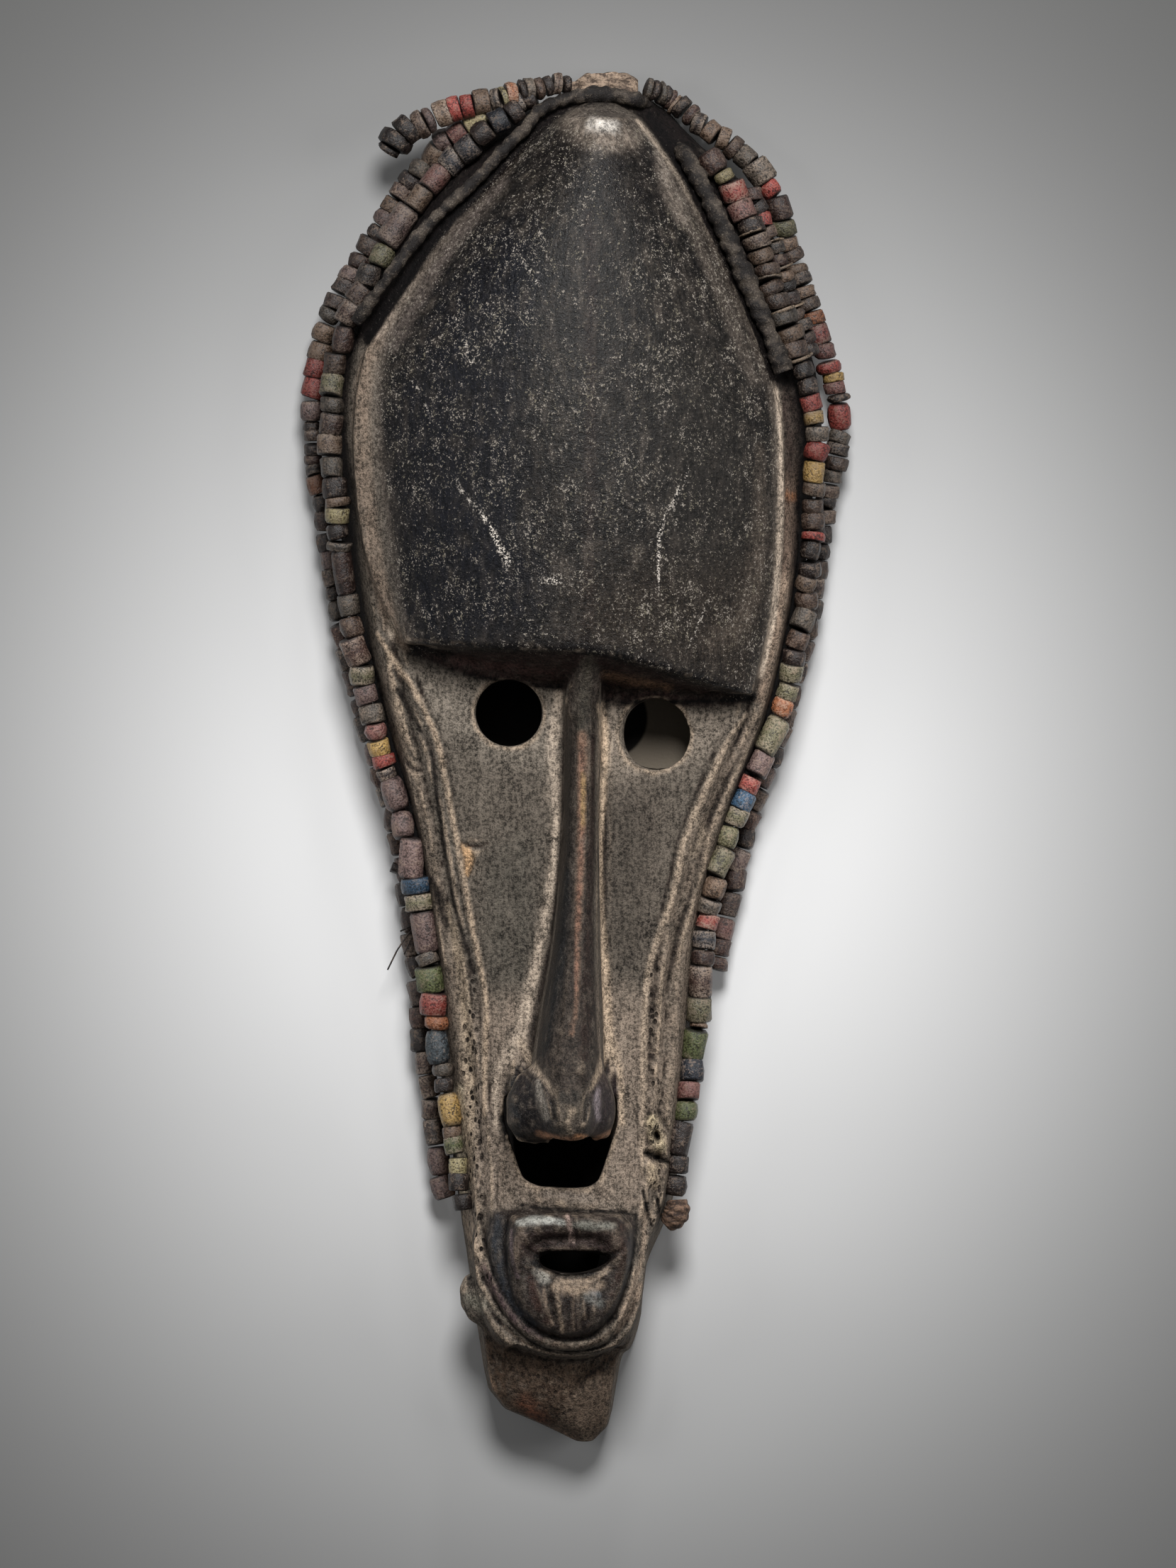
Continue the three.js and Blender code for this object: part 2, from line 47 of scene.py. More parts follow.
# The wood. One block of dense timber, carved with adze and knife and hollowed behind for the face.
# Handling has blacked and polished the forehead, the lips and the nostrils, and rubbed every arris
# pale. The solid's form is kept, and the fine lines that the knife left are pressed into it here.
MM = 0.001
DENSE_STEP = 1.05 * MM  # spacing of the surface that the fine carving is pressed into
WOOD_TRIANGLES = 188000
ARRIS = math.radians(24)  # faces that meet at more than this make an edge that the knife left
ARRIS_REACH = 5.0  # distance over which the rounding fades towards such an edge
ROUNDING_STEP = 0.6  # share of the way to the middle of its neighbours that a place moves in one round
FRONT_FACING = 0.12  # a normal that leans more than this out of the face belongs to the front


def joined_copy(node):
    """A node's solid with its loose triangles joined."""
    solid = bmesh.new()
    solid.from_mesh(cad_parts[node].data)
    bmesh.ops.remove_doubles(solid, verts=solid.verts, dist=1e-6)
    return solid


def piece_from(name, mesh):
    piece = bpy.data.objects.new(name, mesh)
    bpy.context.scene.collection.objects.link(piece)
    return piece


def apply_modifier(piece, kind, settings):
    """Puts one modifier on a piece and applies it."""
    modifier = piece.modifiers.new(kind.lower(), kind)
    for setting, value in settings.items():
        setattr(modifier, setting, value)
    shaped = bpy.data.meshes.new_from_object(piece.evaluated_get(bpy.context.evaluated_depsgraph_get()))
    piece.modifiers.clear()
    piece.data = shaped


def places_of(mesh):
    places = np.empty(len(mesh.vertices) * 3)
    mesh.vertices.foreach_get("co", places)
    return places.reshape(-1, 3) / MM


def normals_of(mesh):
    normals = np.empty(len(mesh.vertices) * 3)
    mesh.vertices.foreach_get("normal", normals)
    return normals.reshape(-1, 3)


def relaxed(places, edges, share, rounds):
    """The places after each has moved towards the middle of its neighbours, by its share, round by round."""
    count = len(places)
    first, second = edges.T
    neighbours = np.bincount(edges.ravel(), minlength=count)
    places = places.copy()
    for _ in range(rounds):
        for axis in range(3):
            column = places[:, axis]
            total = np.bincount(first, column[second], count) + np.bincount(second, column[first], count)
            column += ROUNDING_STEP * share * (total / neighbours - column)
    return places


def eased(value, low, high):
    """0 below low, 1 above high and smooth between them."""
    share = np.clip((value - low) / (high - low), 0, 1)
    return share * share * (3 - 2 * share)


def is_cap(vert):
    """Whether a vertex is the middle of a flat end."""
    facing = vert.link_faces[0].normal
    return all(face.normal.dot(facing) > 0.999 for face in vert.link_faces)


def middle_line(node):
    """The line down the middle of a tube's solid: the middles of its rings, from its upper end on."""
    tube = joined_copy(node)
    ends = sorted(filter(is_cap, tube.verts), key=lambda vert: -vert.co.y)
    ring = [ends[0]]
    reached = set(ring)
    middles = []
    while ring:
        following = {edge.other_vert(vert) for vert in ring for edge in vert.link_edges} - reached
        reached |= following
        ring = list(following)
        if len(ring) > 1:
            middles.append(sum((vert.co for vert in ring), Vector()) / len(ring))
    tube.free()
    return middles


def at_nose_tip(place):
    """Whether a place is on the tip of the nose, which is worn round."""
    x, y, z = place / MM
    return -20 < x < 16 and -141 < y < -112 and z > 54


# The nose's pointed top runs up over the underside of the brow: heights down it, each with its left
# and right edge and its crest.
NOSE_TOP = [
    (37.2, 4.6, 6.2, 70.6), (35.2, 2.8, 8.0, 69.6), (31, 0.2, 9.1, 67), (26.3, -2.3, 9.2, 64.6),
    (21, -3.7, 8.9, 62.8), (14, -3.9, 8.6, 62.2),
]
NOSE_SIDE = 5.5  # how far its two edges lie under its crest
NOSE_ROUNDING = 1.2  # how far it has fallen halfway from the crest to an edge
NOSE_SUNK = 42  # height down to which it is let into the brow

solid = joined_copy("carved_mask")
arris_points = []
for edge in solid.edges:
    if edge.calc_face_angle(0) > ARRIS and not at_nose_tip(edge.verts[0].co):
        steps = max(1, round(edge.calc_length() / MM))
        arris_points += [edge.verts[0].co.lerp(edge.verts[1].co, step / steps) for step in range(steps + 1)]
for y, left, right, crest in NOSE_TOP[:-1]:
    arris_points += [Vector((x, y, crest - NOSE_SIDE)) * MM for x in (left, right)]
arris_tree = KDTree(len(arris_points))
for index, point in enumerate(arris_points):
    arris_tree.insert(point, index)
arris_tree.balance()

sections = []
for y, left, right, crest in NOSE_TOP:
    corners = [
        (left, NOSE_SUNK), (left, crest - NOSE_SIDE), (left * 0.75 + right * 0.25, crest - NOSE_ROUNDING),
        ((left + right) / 2, crest),
        (left * 0.25 + right * 0.75, crest - NOSE_ROUNDING), (right, crest - NOSE_SIDE), (right, NOSE_SUNK),
    ]
    sections.append([solid.verts.new((x * MM, y * MM, z * MM)) for x, z in corners])
for above, below in zip(sections, sections[1:]):
    for corner in range(len(above)):
        solid.faces.new((above[corner], above[corner - 1], below[corner - 1], below[corner]))
solid.faces.new(sections[0])
solid.faces.new(sections[-1][::-1])
bmesh.ops.recalc_face_normals(solid, faces=solid.faces)

wood_mesh = bpy.data.meshes.new("mask_wood")
solid.to_mesh(wood_mesh)
solid.free()
wood = piece_from("mask_wood", wood_mesh)
apply_modifier(wood, "REMESH", {"mode": "VOXEL", "voxel_size": DENSE_STEP})

wood_places = places_of(wood.data)
wood_edges = np.empty(len(wood.data.edges) * 2, int)
wood.data.edges.foreach_get("vertices", wood_edges)
wood_edges = wood_edges.reshape(-1, 2)
from_arris = np.array([arris_tree.find(vertex.co)[2] for vertex in wood.data.vertices]) / MM
openness = eased(from_arris, 1.0, ARRIS_REACH)
everywhere = np.ones(len(wood_places))
wood_places = relaxed(wood_places, wood_edges, everywhere, rounds=5)
wood_places = relaxed(wood_places, wood_edges, openness, rounds=70)
front = normals_of(wood.data)[:, 2] > FRONT_FACING


def smooth_line(points, spacing=1.0):
    """The smooth curve through given points, as rows of the same columns, evenly filled."""
    points = np.array(points, float)
    ends = np.vstack([2 * points[0] - points[1], points, 2 * points[-1] - points[-2]])
    rows = []
    for a, b, c, d in zip(ends, ends[1:], ends[2:], ends[3:]):
        steps = max(1, round(float(np.hypot(*(c - b)[:2])) / spacing))
        bend = 2 * a - 5 * b + 4 * c - d
        swing = 3 * b - a - 3 * c + d
        for step in range(steps):
            t = step / steps
            rows.append(0.5 * (2 * b + (c - a) * t + bend * t**2 + swing * t**3))
    rows.append(points[-1])
    return np.array(rows)


def line_on_face(points, width):
    """Rows of x, y and half width. A point may hold its own half width."""
    return smooth_line([(*point[:2], point[2] if len(point) > 2 else width) for point in points])


def nearness(places, points, width):
    """1 on a line drawn over the face as one looks at it, and 0 at its half width."""
    line = line_on_face(points, width)
    widest = line[:, 2].max()
    low, high = line[:, :2].min(0) - widest, line[:, :2].max(0) + widest
    flat = places[:, :2]
    near = np.flatnonzero(((flat > low) & (flat < high)).all(1))
    result = np.zeros(len(places))
    best = np.full(len(near), 9.0)
    here = flat[near]
    for a, b in zip(line, line[1:]):
        along = b[:2] - a[:2]
        share = np.clip((here - a[:2]) @ along / max(along @ along, 1e-9), 0, 1)
        away = np.hypot(*(here - a[:2] - share[:, None] * along).T)
        best = np.minimum(best, away / (a[2] + share * (b[2] - a[2])))
    result[near] = np.clip(1 - best**2, 0, 1) ** 2
    return result


def inside(places, corners, soft, inset=0.0):
    """1 inside a closed outline on the face and 0 outside it, with a soft edge, set in by a little."""
    outline = smooth_line(corners + corners[:1], 3.0)
    reach = soft + abs(inset)
    low, high = outline.min(0) - reach, outline.max(0) + reach
    near = np.flatnonzero(((places[:, :2] > low) & (places[:, :2] < high)).all(1))
    flat = places[near, :2]
    within = np.zeros(len(near), bool)
    away = np.full(len(near), 1e3)
    for a, b in zip(outline, outline[1:]):
        crosses = (a[1] > flat[:, 1]) != (b[1] > flat[:, 1])
        if a[1] != b[1]:
            within ^= crosses & (flat[:, 0] < a[0] + (b[0] - a[0]) * (flat[:, 1] - a[1]) / (b[1] - a[1]))
        along = b - a
        share = np.clip((flat - a) @ along / max(along @ along, 1e-9), 0, 1)
        away = np.minimum(away, np.hypot(*(flat - a - share[:, None] * along).T))
    result = np.zeros(len(places))
    result[near] = eased(np.where(within, away, -away), inset - soft / 2, inset + soft / 2)
    return result


# The lines that are first carved and later coloured, without their ends, which differ.
LEFT_CREST = [
    (-64.3, 33.3), (-59, 25.9), (-53.7, 15.4), (-49.5, 4.9), (-46.4, -10.9), (-43.2, -27.7), (-40.1, -44.6),
    (-37.5, -59.5), (-34.5, -74.6), (-32.2, -89.7), (-32.6, -107.9),
]
LEFT_GROOVE = [(-56.5, 11), (-52.2, 1.7), (-49.6, -17.2), (-46.6, -38.3), (-43.4, -55.1), (-39.8, -67)]
RIGHT_CREST = [
    (55.6, 5.9), (49.3, -6.7), (43, -21.4), (38.8, -33), (35.7, -48.8), (31.6, -61), (28.3, -70.8),
    (26, -82.2), (24.9, -104.9),
]
RIGHT_GROOVE = [(60, 1), (53.5, -12), (47.5, -27), (44, -42), (40, -56), (36, -70), (33, -85)]
MUZZLE_GROOVE = [(-32.6, -174.6), (-29.6, -186), (-24.2, -197.3), (-18.9, -203.6), (-10.6, -208.8)]
COLLAR_GROOVE = [
    (-34, -186.4), (-28.4, -197.4), (-22.2, -205.8), (-15.1, -211.9), (-7.5, -214.8), (3, -214.9),
    (11.4, -212.3), (17.8, -206.2),
]

# Ridges and grooves, each a line over the face in millimetres with its half width and its rise. A
# point may hold its own half width.
CARVED_LINES = [
    # The crest that runs down the left cheek, and the grooves beside it.
    ([(-71.6, 44.8, 1.5), *LEFT_CREST, (-32.6, -130, 0.6)], 2.0, 1.3),
    ([(-64.3, 24.8, 1), *LEFT_GROOVE, (-36.7, -78, 0.8)], 1.6, -1.0),
    ([(-42.5, -57, 0.8), (-41, -67), (-38.4, -79), (-36.8, -95), (-36.6, -116), (-37, -135, 0.8)], 1.7, -0.8),
    # The lobe beside the beads, and the one that starts under it.
    ([(-68.5, 40, 1.6), (-65.8, 26), (-61.8, 11), (-57.6, 0.5, 0.8)], 3.0, 1.6),
    ([(-71, 28, 1), (-66.5, 13), (-61.2, -1.5), (-56, -5, 0.8)], 1.5, -1.6),
    ([(-62, -5, 1.4), (-59, -17.2), (-55.9, -38.3), (-50.6, -59.3), (-47, -75, 1)], 2.6, 1.2),
    # The crest down the right cheek, and the groove beside it.
    ([(62, 16, 1), *RIGHT_CREST, (24.9, -127.5), (24.5, -148, 1)], 2.4, 1.2),
    ([(67, 14, 1), *RIGHT_GROOVE, (31.5, -105, 1)], 2.0, -1.2),
    # The trench down each side of the nose.
    ([(-4.4, 28, 1), (-4.8, 4), (-6, -17), (-8.6, -38), (-11, -58), (-13.6, -76), (-17, -91),
      (-20.6, -100, 1)], 2.2, -0.9),
    ([(10.6, 26, 1), (11, 4), (11, -28), (11.2, -60), (11.8, -84), (13, -100, 1)], 2.0, -0.9),
    # The clefts between the nose and its wings, and the wings' inner edges.
    ([(-19, -108, 0.8), (-12, -115, 1.6), (-8.4, -123), (-7, -131, 1)], 1.8, -1.3),
    ([(12.6, -110, 0.8), (8, -116, 1.6), (5, -123), (3.4, -131, 1)], 1.8, -1.3),
    ([(-20.4, -112, 1), (-14.4, -119), (-12, -128, 1)], 2.4, 1.0),
    ([(14, -113, 1), (10, -120), (8.4, -128, 1)], 2.4, 1.0),
    ([(-22, -109.5, 0.8), (-22.6, -114, 2.2), (-23, -119, 3)], 3, 1.6),
    ([(13, -110, 0.8), (13.2, -114, 1.8), (12.6, -119, 2.4)], 2.4, 1.4),
    # The crease over the upper lip, and the nick through it.
    ([(-19.5, -162, 0.7), (-9, -163.1), (3, -164.2), (13.6, -164.6), (20.8, -165.1, 0.7)], 1.3, -1.5),
    ([(-2.2, -164, 0.7), (-1.2, -169), (0.6, -175.2, 0.6)], 1.1, -1.1),
    # The groove that parts the muzzle from the first collar.
    ([(-34, -165.5, 1), *MUZZLE_GROOVE, (-2, -210.6), (6.5, -209.4), (13.5, -204), (17.8, -195.5),
      (20.4, -184, 1)], 1.7, -2.2),
    ([(-22.6, -172, 1), (-23.4, -182), (-20.6, -191, 0.8)], 1.5, -1.2),
    # The collars' own grooves.
    ([(-39, -176, 1), *COLLAR_GROOVE, (22.2, -197.4, 1)], 1.3, -1.5),
    ([(-36, -190, 0.8), (-30, -201), (-22, -209.5), (-14, -214.6), (-6, -217.4), (3, -217.8),
      (12, -215.6, 0.8)], 1.3, -1.3),
    ([(-30, -178, 0.8), (-27.6, -189), (-22.6, -200), (-15, -208.2, 0.8)], 1.2, 1.0),
    # The facet at the lower right of the chin.
    ([(17.4, -218.4, 0.8), (12.1, -222.2), (6.1, -225.2), (1.5, -228.6), (-3, -232, 0.8)], 1.6, -0.8),
    # The chip out of the left crest, with its notch.
    ([(-41.5, -32.5, 1.2), (-38.4, -37), (-38.8, -43, 1)], 3.6, -1.7),
    ([(-41, -30.6, 0.6), (-36.6, -32.2), (-31.5, -31, 0.5)], 1.4, -2.0),
    # The lug on the right cheek: a worn block with a hole in it and a notch under it.
    ([(28.6, -133, 4), (30.4, -140, 4.2)], 4, 3.6),
    ([(29.2, -136, 1.6), (29.9, -138, 1.7)], 1.7, -6.5),
    ([(25.6, -143.2, 1), (29.4, -144.9), (34, -146.6, 1.2)], 1.8, -4.0),
    ([(28.2, -148.6, 3.2), (28.6, -153, 3)], 3.2, 2.6),
    ([(31.6, -131, 1), (34.6, -137), (34.2, -144, 1)], 1.5, -2.0),
    # The ribs down the lower lip and the dark corners of the mouth.
    ([(-15, -186, 0.8), (-13, -194), (-9.6, -202, 0.8)], 1.3, 0.9),
    ([(-11, -187.6, 0.8), (-9.6, -196), (-6.6, -204.6, 0.8)], 1.1, -0.9),
    ([(-7.6, -188, 0.8), (-6.4, -197), (-4, -206, 0.8)], 1.3, 0.9),
    ([(-3.6, -188.6, 0.8), (-2.8, -198), (-1, -206.6, 0.8)], 1.1, -0.9),
    ([(0.6, -188.4, 0.8), (1, -197), (1.6, -206, 0.8)], 1.3, 0.8),
    ([(5, -187.6, 0.8), (4.8, -196), (4.2, -204.6, 0.8)], 1.1, -0.9),
    ([(9.4, -186, 0.8), (8.6, -194), (7, -202, 0.8)], 1.3, 0.9),
    ([(13, -184.6, 0.8), (12, -192), (9.8, -199, 0.8)], 1.1, -0.9),
    ([(-18, -177, 1), (-13.6, -180.4), (-9.6, -181.4, 1.4)], 1.8, -1.6),
    ([(17, -178, 1), (12.6, -180.6), (8, -181.6, 1.4)], 1.8, -1.6),
    ([(-17, -184, 1.2), (-10, -187), (-1, -188), (9, -186.6, 1.2)], 1.8, 1.1),
    # Splits in the wood at the lower right, below the strings.
    ([(24.8, -157, 0.7), (26, -163.5), (28, -170, 0.6)], 1.1, -1.8),
    ([(29.8, -160, 0.7), (31, -166), (31.4, -172, 0.6)], 1.1, -1.8),
    # Fine strips left at the lower left, below the strings.
    ([(-43.4, -163, 0.8), (-39.4, -172), (-35.4, -181), (-33, -187, 0.8)], 1.2, 0.9),
    ([(-40.4, -162, 0.7), (-36.8, -171), (-33.2, -180, 0.7)], 1.1, -1.1),
]
for points, width, rise in CARVED_LINES:
    wood_places[front, 2] += rise * nearness(wood_places[front], points, width)

# The chin's upper edge runs up closer under the collars.
chin_edge = [(-20, -218, 7), (-8, -221.5, 8), (6, -222, 8), (15, -219, 7)]
wood_places[:, 1] += 3.6 * nearness(wood_places, chin_edge, 8)

# Tool marks and the slow unevenness of handwork.
WAVE = 0.028  # waves to a millimetre
HAND_UNEVENNESS = 0.5
for index in np.flatnonzero(from_arris > 0.5):
    x, y, z = wood_places[index]
    wood_places[index, 2] += HAND_UNEVENNESS * noise.noise((x * WAVE * 1.6, y * WAVE, z * WAVE))

# The muzzle and the tip of the nose are worn lumpy.
LUMP_HEIGHT = 0.7
muzzle_reach = nearness(wood_places, [(-3, -166, 26), (-3, -212, 22)], 24)
nose_tip_reach = nearness(wood_places, [(-4, -112, 20), (-4, -138, 20)], 20)
lumpy = np.maximum(muzzle_reach, nose_tip_reach)
for index in np.flatnonzero(front & (lumpy > 0.05)):
    x, y, z = wood_places[index]
    wood_places[index, 2] += min(1, 2 * lumpy[index]) * LUMP_HEIGHT * noise.noise((x * 0.26, y * 0.2, 3))

# The wood is eaten and rough below the strings, down both edges of the lower face and on the chin.
EATEN_DEPTH = 1.1
ROUGH_EDGES = [
    ([(-38, -76, 3), (-38, -110, 6), (-37, -135, 7), (-37, -162, 7), (-32, -188, 5)], 5, 1.0),
    ([(28, -76, 3), (29, -110, 4), (29, -160, 5), (26, -180, 3)], 4, 0.9),
    ([(-30, -218, 5), (-10, -226, 8), (0, -238, 5)], 5, 0.5),
]


def strongest(lines):
    """The strongest of several lines at each place, and 0 on the sides and the back."""
    value = np.zeros(len(wood_places))
    for points, width, strength in lines:
        value[front] = np.maximum(value[front], strength * nearness(wood_places[front], points, width))
    return value


rough_edges = strongest(ROUGH_EDGES)
for index in np.flatnonzero(rough_edges > 0.05):
    x, y, z = wood_places[index]
    gnaw = noise.noise((x * 0.55, y * 0.4, z * 0.4)) + 0.6 * noise.noise((x * 1.1, y * 0.9, 5))
    wood_places[index, 2] += rough_edges[index] * (EATEN_DEPTH * gnaw - 0.3)
wood_places = relaxed(wood_places, wood_edges, everywhere, rounds=1)
wood_places[:, 2] = np.maximum(wood_places[:, 2], 0)

# How far each place stands proud of the form round it, which tells what is rubbed and what is dirty.
wood.data.vertices.foreach_set("co", (wood_places * MM).ravel())
wood.data.update()
wood_normals = normals_of(wood.data)
front = wood_normals[:, 2] > FRONT_FACING
small_form = relaxed(wood_places, wood_edges, everywhere, rounds=8)
large_form = relaxed(wood_places, wood_edges, everywhere, rounds=50)
fine_bulge = ((wood_places - small_form) * wood_normals).sum(1)
broad_bulge = ((wood_places - large_form) * wood_normals).sum(1)

# The outlines of the parts of the face, as one looks at it.
FOREHEAD = [
    (-60, 38), (-64.5, 60), (-69, 90), (-71.8, 116), (-71.8, 138), (-69.5, 152), (-62, 166), (-48.5, 187),
    (-38.5, 199.5), (-28.5, 211), (-18, 223), (-9, 230.5), (2, 235.5), (14, 234.5), (23, 231), (29.5, 223),
    (36.5, 213), (42.5, 202.5), (47.5, 192.5), (54.3, 179), (61.5, 162), (67.6, 146.5), (73, 131),
    (74.2, 104), (73.6, 76), (71, 50), (64, 22), (47.5, 25), (33, 30), (19, 34), (7.6, 37), (-26, 38.5),
]
BROW_UNDERSIDE = [
    (-61, 40), (-44, 39), (-26, 38.6), (4, 38), (20, 34.6), (34, 30.6), (48, 26), (66, 21), (50, 18.6),
    (30, 18.6), (9.6, 19.6), (9, 31), (6, 37), (4, 37), (0.2, 31), (-3, 25), (-11, 25), (-32, 28),
    (-48, 33),
]
MUZZLE = [
    (-31.6, -165), (-19.2, -163.4), (3, -165), (20.8, -166.3), (21.6, -176), (19.4, -187), (14.4, -200.6),
    (6, -209), (-2, -211.5), (-13, -209.4), (-21.6, -202), (-28, -190), (-32, -176),
]
NOSE = [
    (2.8, 34.6), (0.2, 31), (-2.3, 26.3), (-3.6, 21), (-3.8, 5), (-4.6, -23), (-6, -40), (-9, -60),
    (-13, -80), (-16, -96), (-17, -108), (-11, -117), (-8, -122), (0, -126), (5, -120), (9, -111), (8, -96),
    (7, -60), (7.4, -30), (7.6, 0), (8.8, 21), (9, 31), (8, 35), (5.2, 37),
]
LEFT_WING = [
    (-20, -111), (-24, -115), (-26.2, -121.7), (-26.8, -129.6), (-24, -134.6), (-14, -139), (-6.5, -141),
    (-6, -128), (-9, -121), (-14, -115),
]
RIGHT_WING = [
    (11.6, -111), (14.8, -114), (15.6, -125.6), (15.8, -133.5), (12.8, -137.3), (7.7, -140.4), (4, -140),
    (3, -128), (6, -120),
]
MOUTH = [
    (-14.8, -181.4), (-9, -178.6), (0, -178.2), (10, -178.6), (14.8, -179.8), (13, -182.4), (9, -186),
    (4.5, -187.8), (-2.7, -187.8), (-7.2, -187.4), (-8.6, -185.2), (-14.4, -184.8),
]
GAP = [
    (-26.4, -130), (-23.5, -141.4), (-18.8, -152.9), (-13.3, -155.2), (-2.2, -155.8), (6.1, -155.4),
    (9.4, -152.3), (13, -143.8), (15.6, -133.6), (8, -137), (0, -139), (-14, -137),
]


def screen(red, green, blue):
    """A colour given as on a screen, 0 to 255, as light values."""
    return tuple(((c / 255 + 0.055) / 1.055) ** 2.4 if c > 10 else c / 3295 for c in (red, green, blue))


ragged = np.array([
    noise.noise((x * 0.35, y * 0.25, z * 0.35)) + 0.6 * noise.noise((x * 0.9, y * 0.7, z * 0.9))
    for x, y, z in wood_places
])
paint = np.tile(screen(98, 90, 81), (len(wood_places), 1))


def brush(amount, colour, unevenness=0.8):
    """Lays a colour over the paint by an amount at each place, more in some spots than in others."""
    share = np.clip(amount * (1 + unevenness * ragged), 0, 1)[:, None]
    paint[:] += share * (np.array(screen(*colour)) - paint)


# The wood's colours in their order: areas first, each with its corners, soft edge, inset, colour and
# strength, then what lies in the hollows and on the ridges of the form, then lines over the face.
AREAS = [
    # Bare wood, paler round the eyes and browner down the lower face.
    ([(-58, 34), (-34, 27), (-14, 27), (-5, 26), (-4.5, 0), (-8, -4), (-30, -2), (-46, 8), (-56, 20)],
     10, 0, (124, 115, 104), 0.8),
    ([(9, 19), (24, 18), (50, 18), (62, 17), (54, 2), (40, -2), (20, -8), (9, -6)],
     10, 0, (130, 119, 107), 0.8),
    ([(8, -12), (30, -10), (30, -40), (24, -70), (10, -70)], 12, 0, (88, 80, 72), 0.8),
    ([(12, -18), (25, -22), (22, -80), (13, -84)], 9, 0, (74, 68, 61), 0.6),
    ([(-32, -34), (-15, -30), (-17, -84), (-26, -94), (-33, -64)], 10, 0, (76, 72, 65), 0.6),
    ([(-38, -88), (24, -88), (27, -160), (20, -165), (-20, -163), (-38, -160)], 16, 0, (132, 118, 105), 0.9),
    ([(-70, 36), (-58, 4), (-50, -30), (-45, -60), (-40, -90), (-38, -150), (-46, -150), (-60, -80),
      (-72, -10)], 4, 0, (104, 92, 81), 0.7),
    ([(62, 16), (43, -21), (36, -49), (28, -71), (26, -82), (25, -148), (36, -150), (48, -60), (74, 14)],
     4, 0, (122, 108, 95), 0.7),
    # The chin is stained dark brown, and its facet at the lower right is painted a lighter brown.
    ([(-40, -204), (-14, -216.5), (4, -218.6), (24, -208), (22, -222), (8, -250), (-36, -254)],
     5, 0, (64, 51, 41), 0.95),
    ([(-24, -214), (-6, -219), (2, -222), (-2, -234), (-22, -236)], 6, 0, (78, 64, 53), 0.6),
    ([(22, -212), (17.4, -218.4), (6, -225.2), (-3, -232), (-6, -250), (14, -250), (26, -222)],
     2, 0, (88, 75, 64), 0.85),
    # The forehead, dusty towards its edges and black within them.
    (FOREHEAD, 3, 0, (104, 94, 85), 1.0),
    (FOREHEAD, 5, 2, (28, 26, 25), 1.0),
    ([(-66, 130), (-34, 186), (-12, 186), (-20, 120), (-16, 50), (-60, 44)], 24, 0, (19, 20, 26), 0.85),
    ([(0, 60), (40, 74), (74, 80), (66, 22), (20, 34), (4, 38)], 26, 0, (48, 41, 35), 0.7),
    ([(24, 150), (50, 150), (66, 110), (60, 70), (34, 80)], 24, 0, (38, 35, 32), 0.6),
    ([(-18, 218), (2, 236), (16, 234), (38, 210), (20, 196), (0, 198)], 16, 0, (27, 24, 23), 0.75),
    # The underside of the brow is painted dark reddish brown as its shade.
    (BROW_UNDERSIDE, 1.6, 0, (50, 37, 34), 1.0),
    (MUZZLE, 2.0, 0, (46, 39, 36), 1.0),
    (NOSE, 1.6, 0, (53, 46, 41), 1.0),
    (LEFT_WING, 1.6, 0, (30, 26, 27), 1.0),
    (RIGHT_WING, 1.6, 0, (47, 38, 39), 1.0),
    ([(-7, -121), (5, -121), (6, -132), (2, -141), (-6, -141), (-9, -130)], 3, 0, (58, 54, 49), 0.8),
    ([(-21, -171.6), (-8, -171.4), (14, -172), (20, -176), (18, -180), (-21, -180)], 2, 0, (58, 47, 44), 0.9),
    # The bevel down the right of the forehead.
    ([(74.5, 134), (84, 134), (88, 104), (86, 78), (80, 62), (74, 62), (75.6, 80), (76, 104)],
     1.6, 0, (58, 48, 43), 0.95),
    ([(75, 102), (87, 102), (86, 78), (80, 62), (74, 62), (75.6, 80)], 5, 0, (108, 91, 79), 0.9),
    ([(74, 66), (84, 66), (80, 44), (72, 20), (66, 20), (71, 44)], 3, 0, (140, 121, 105), 0.9),
]
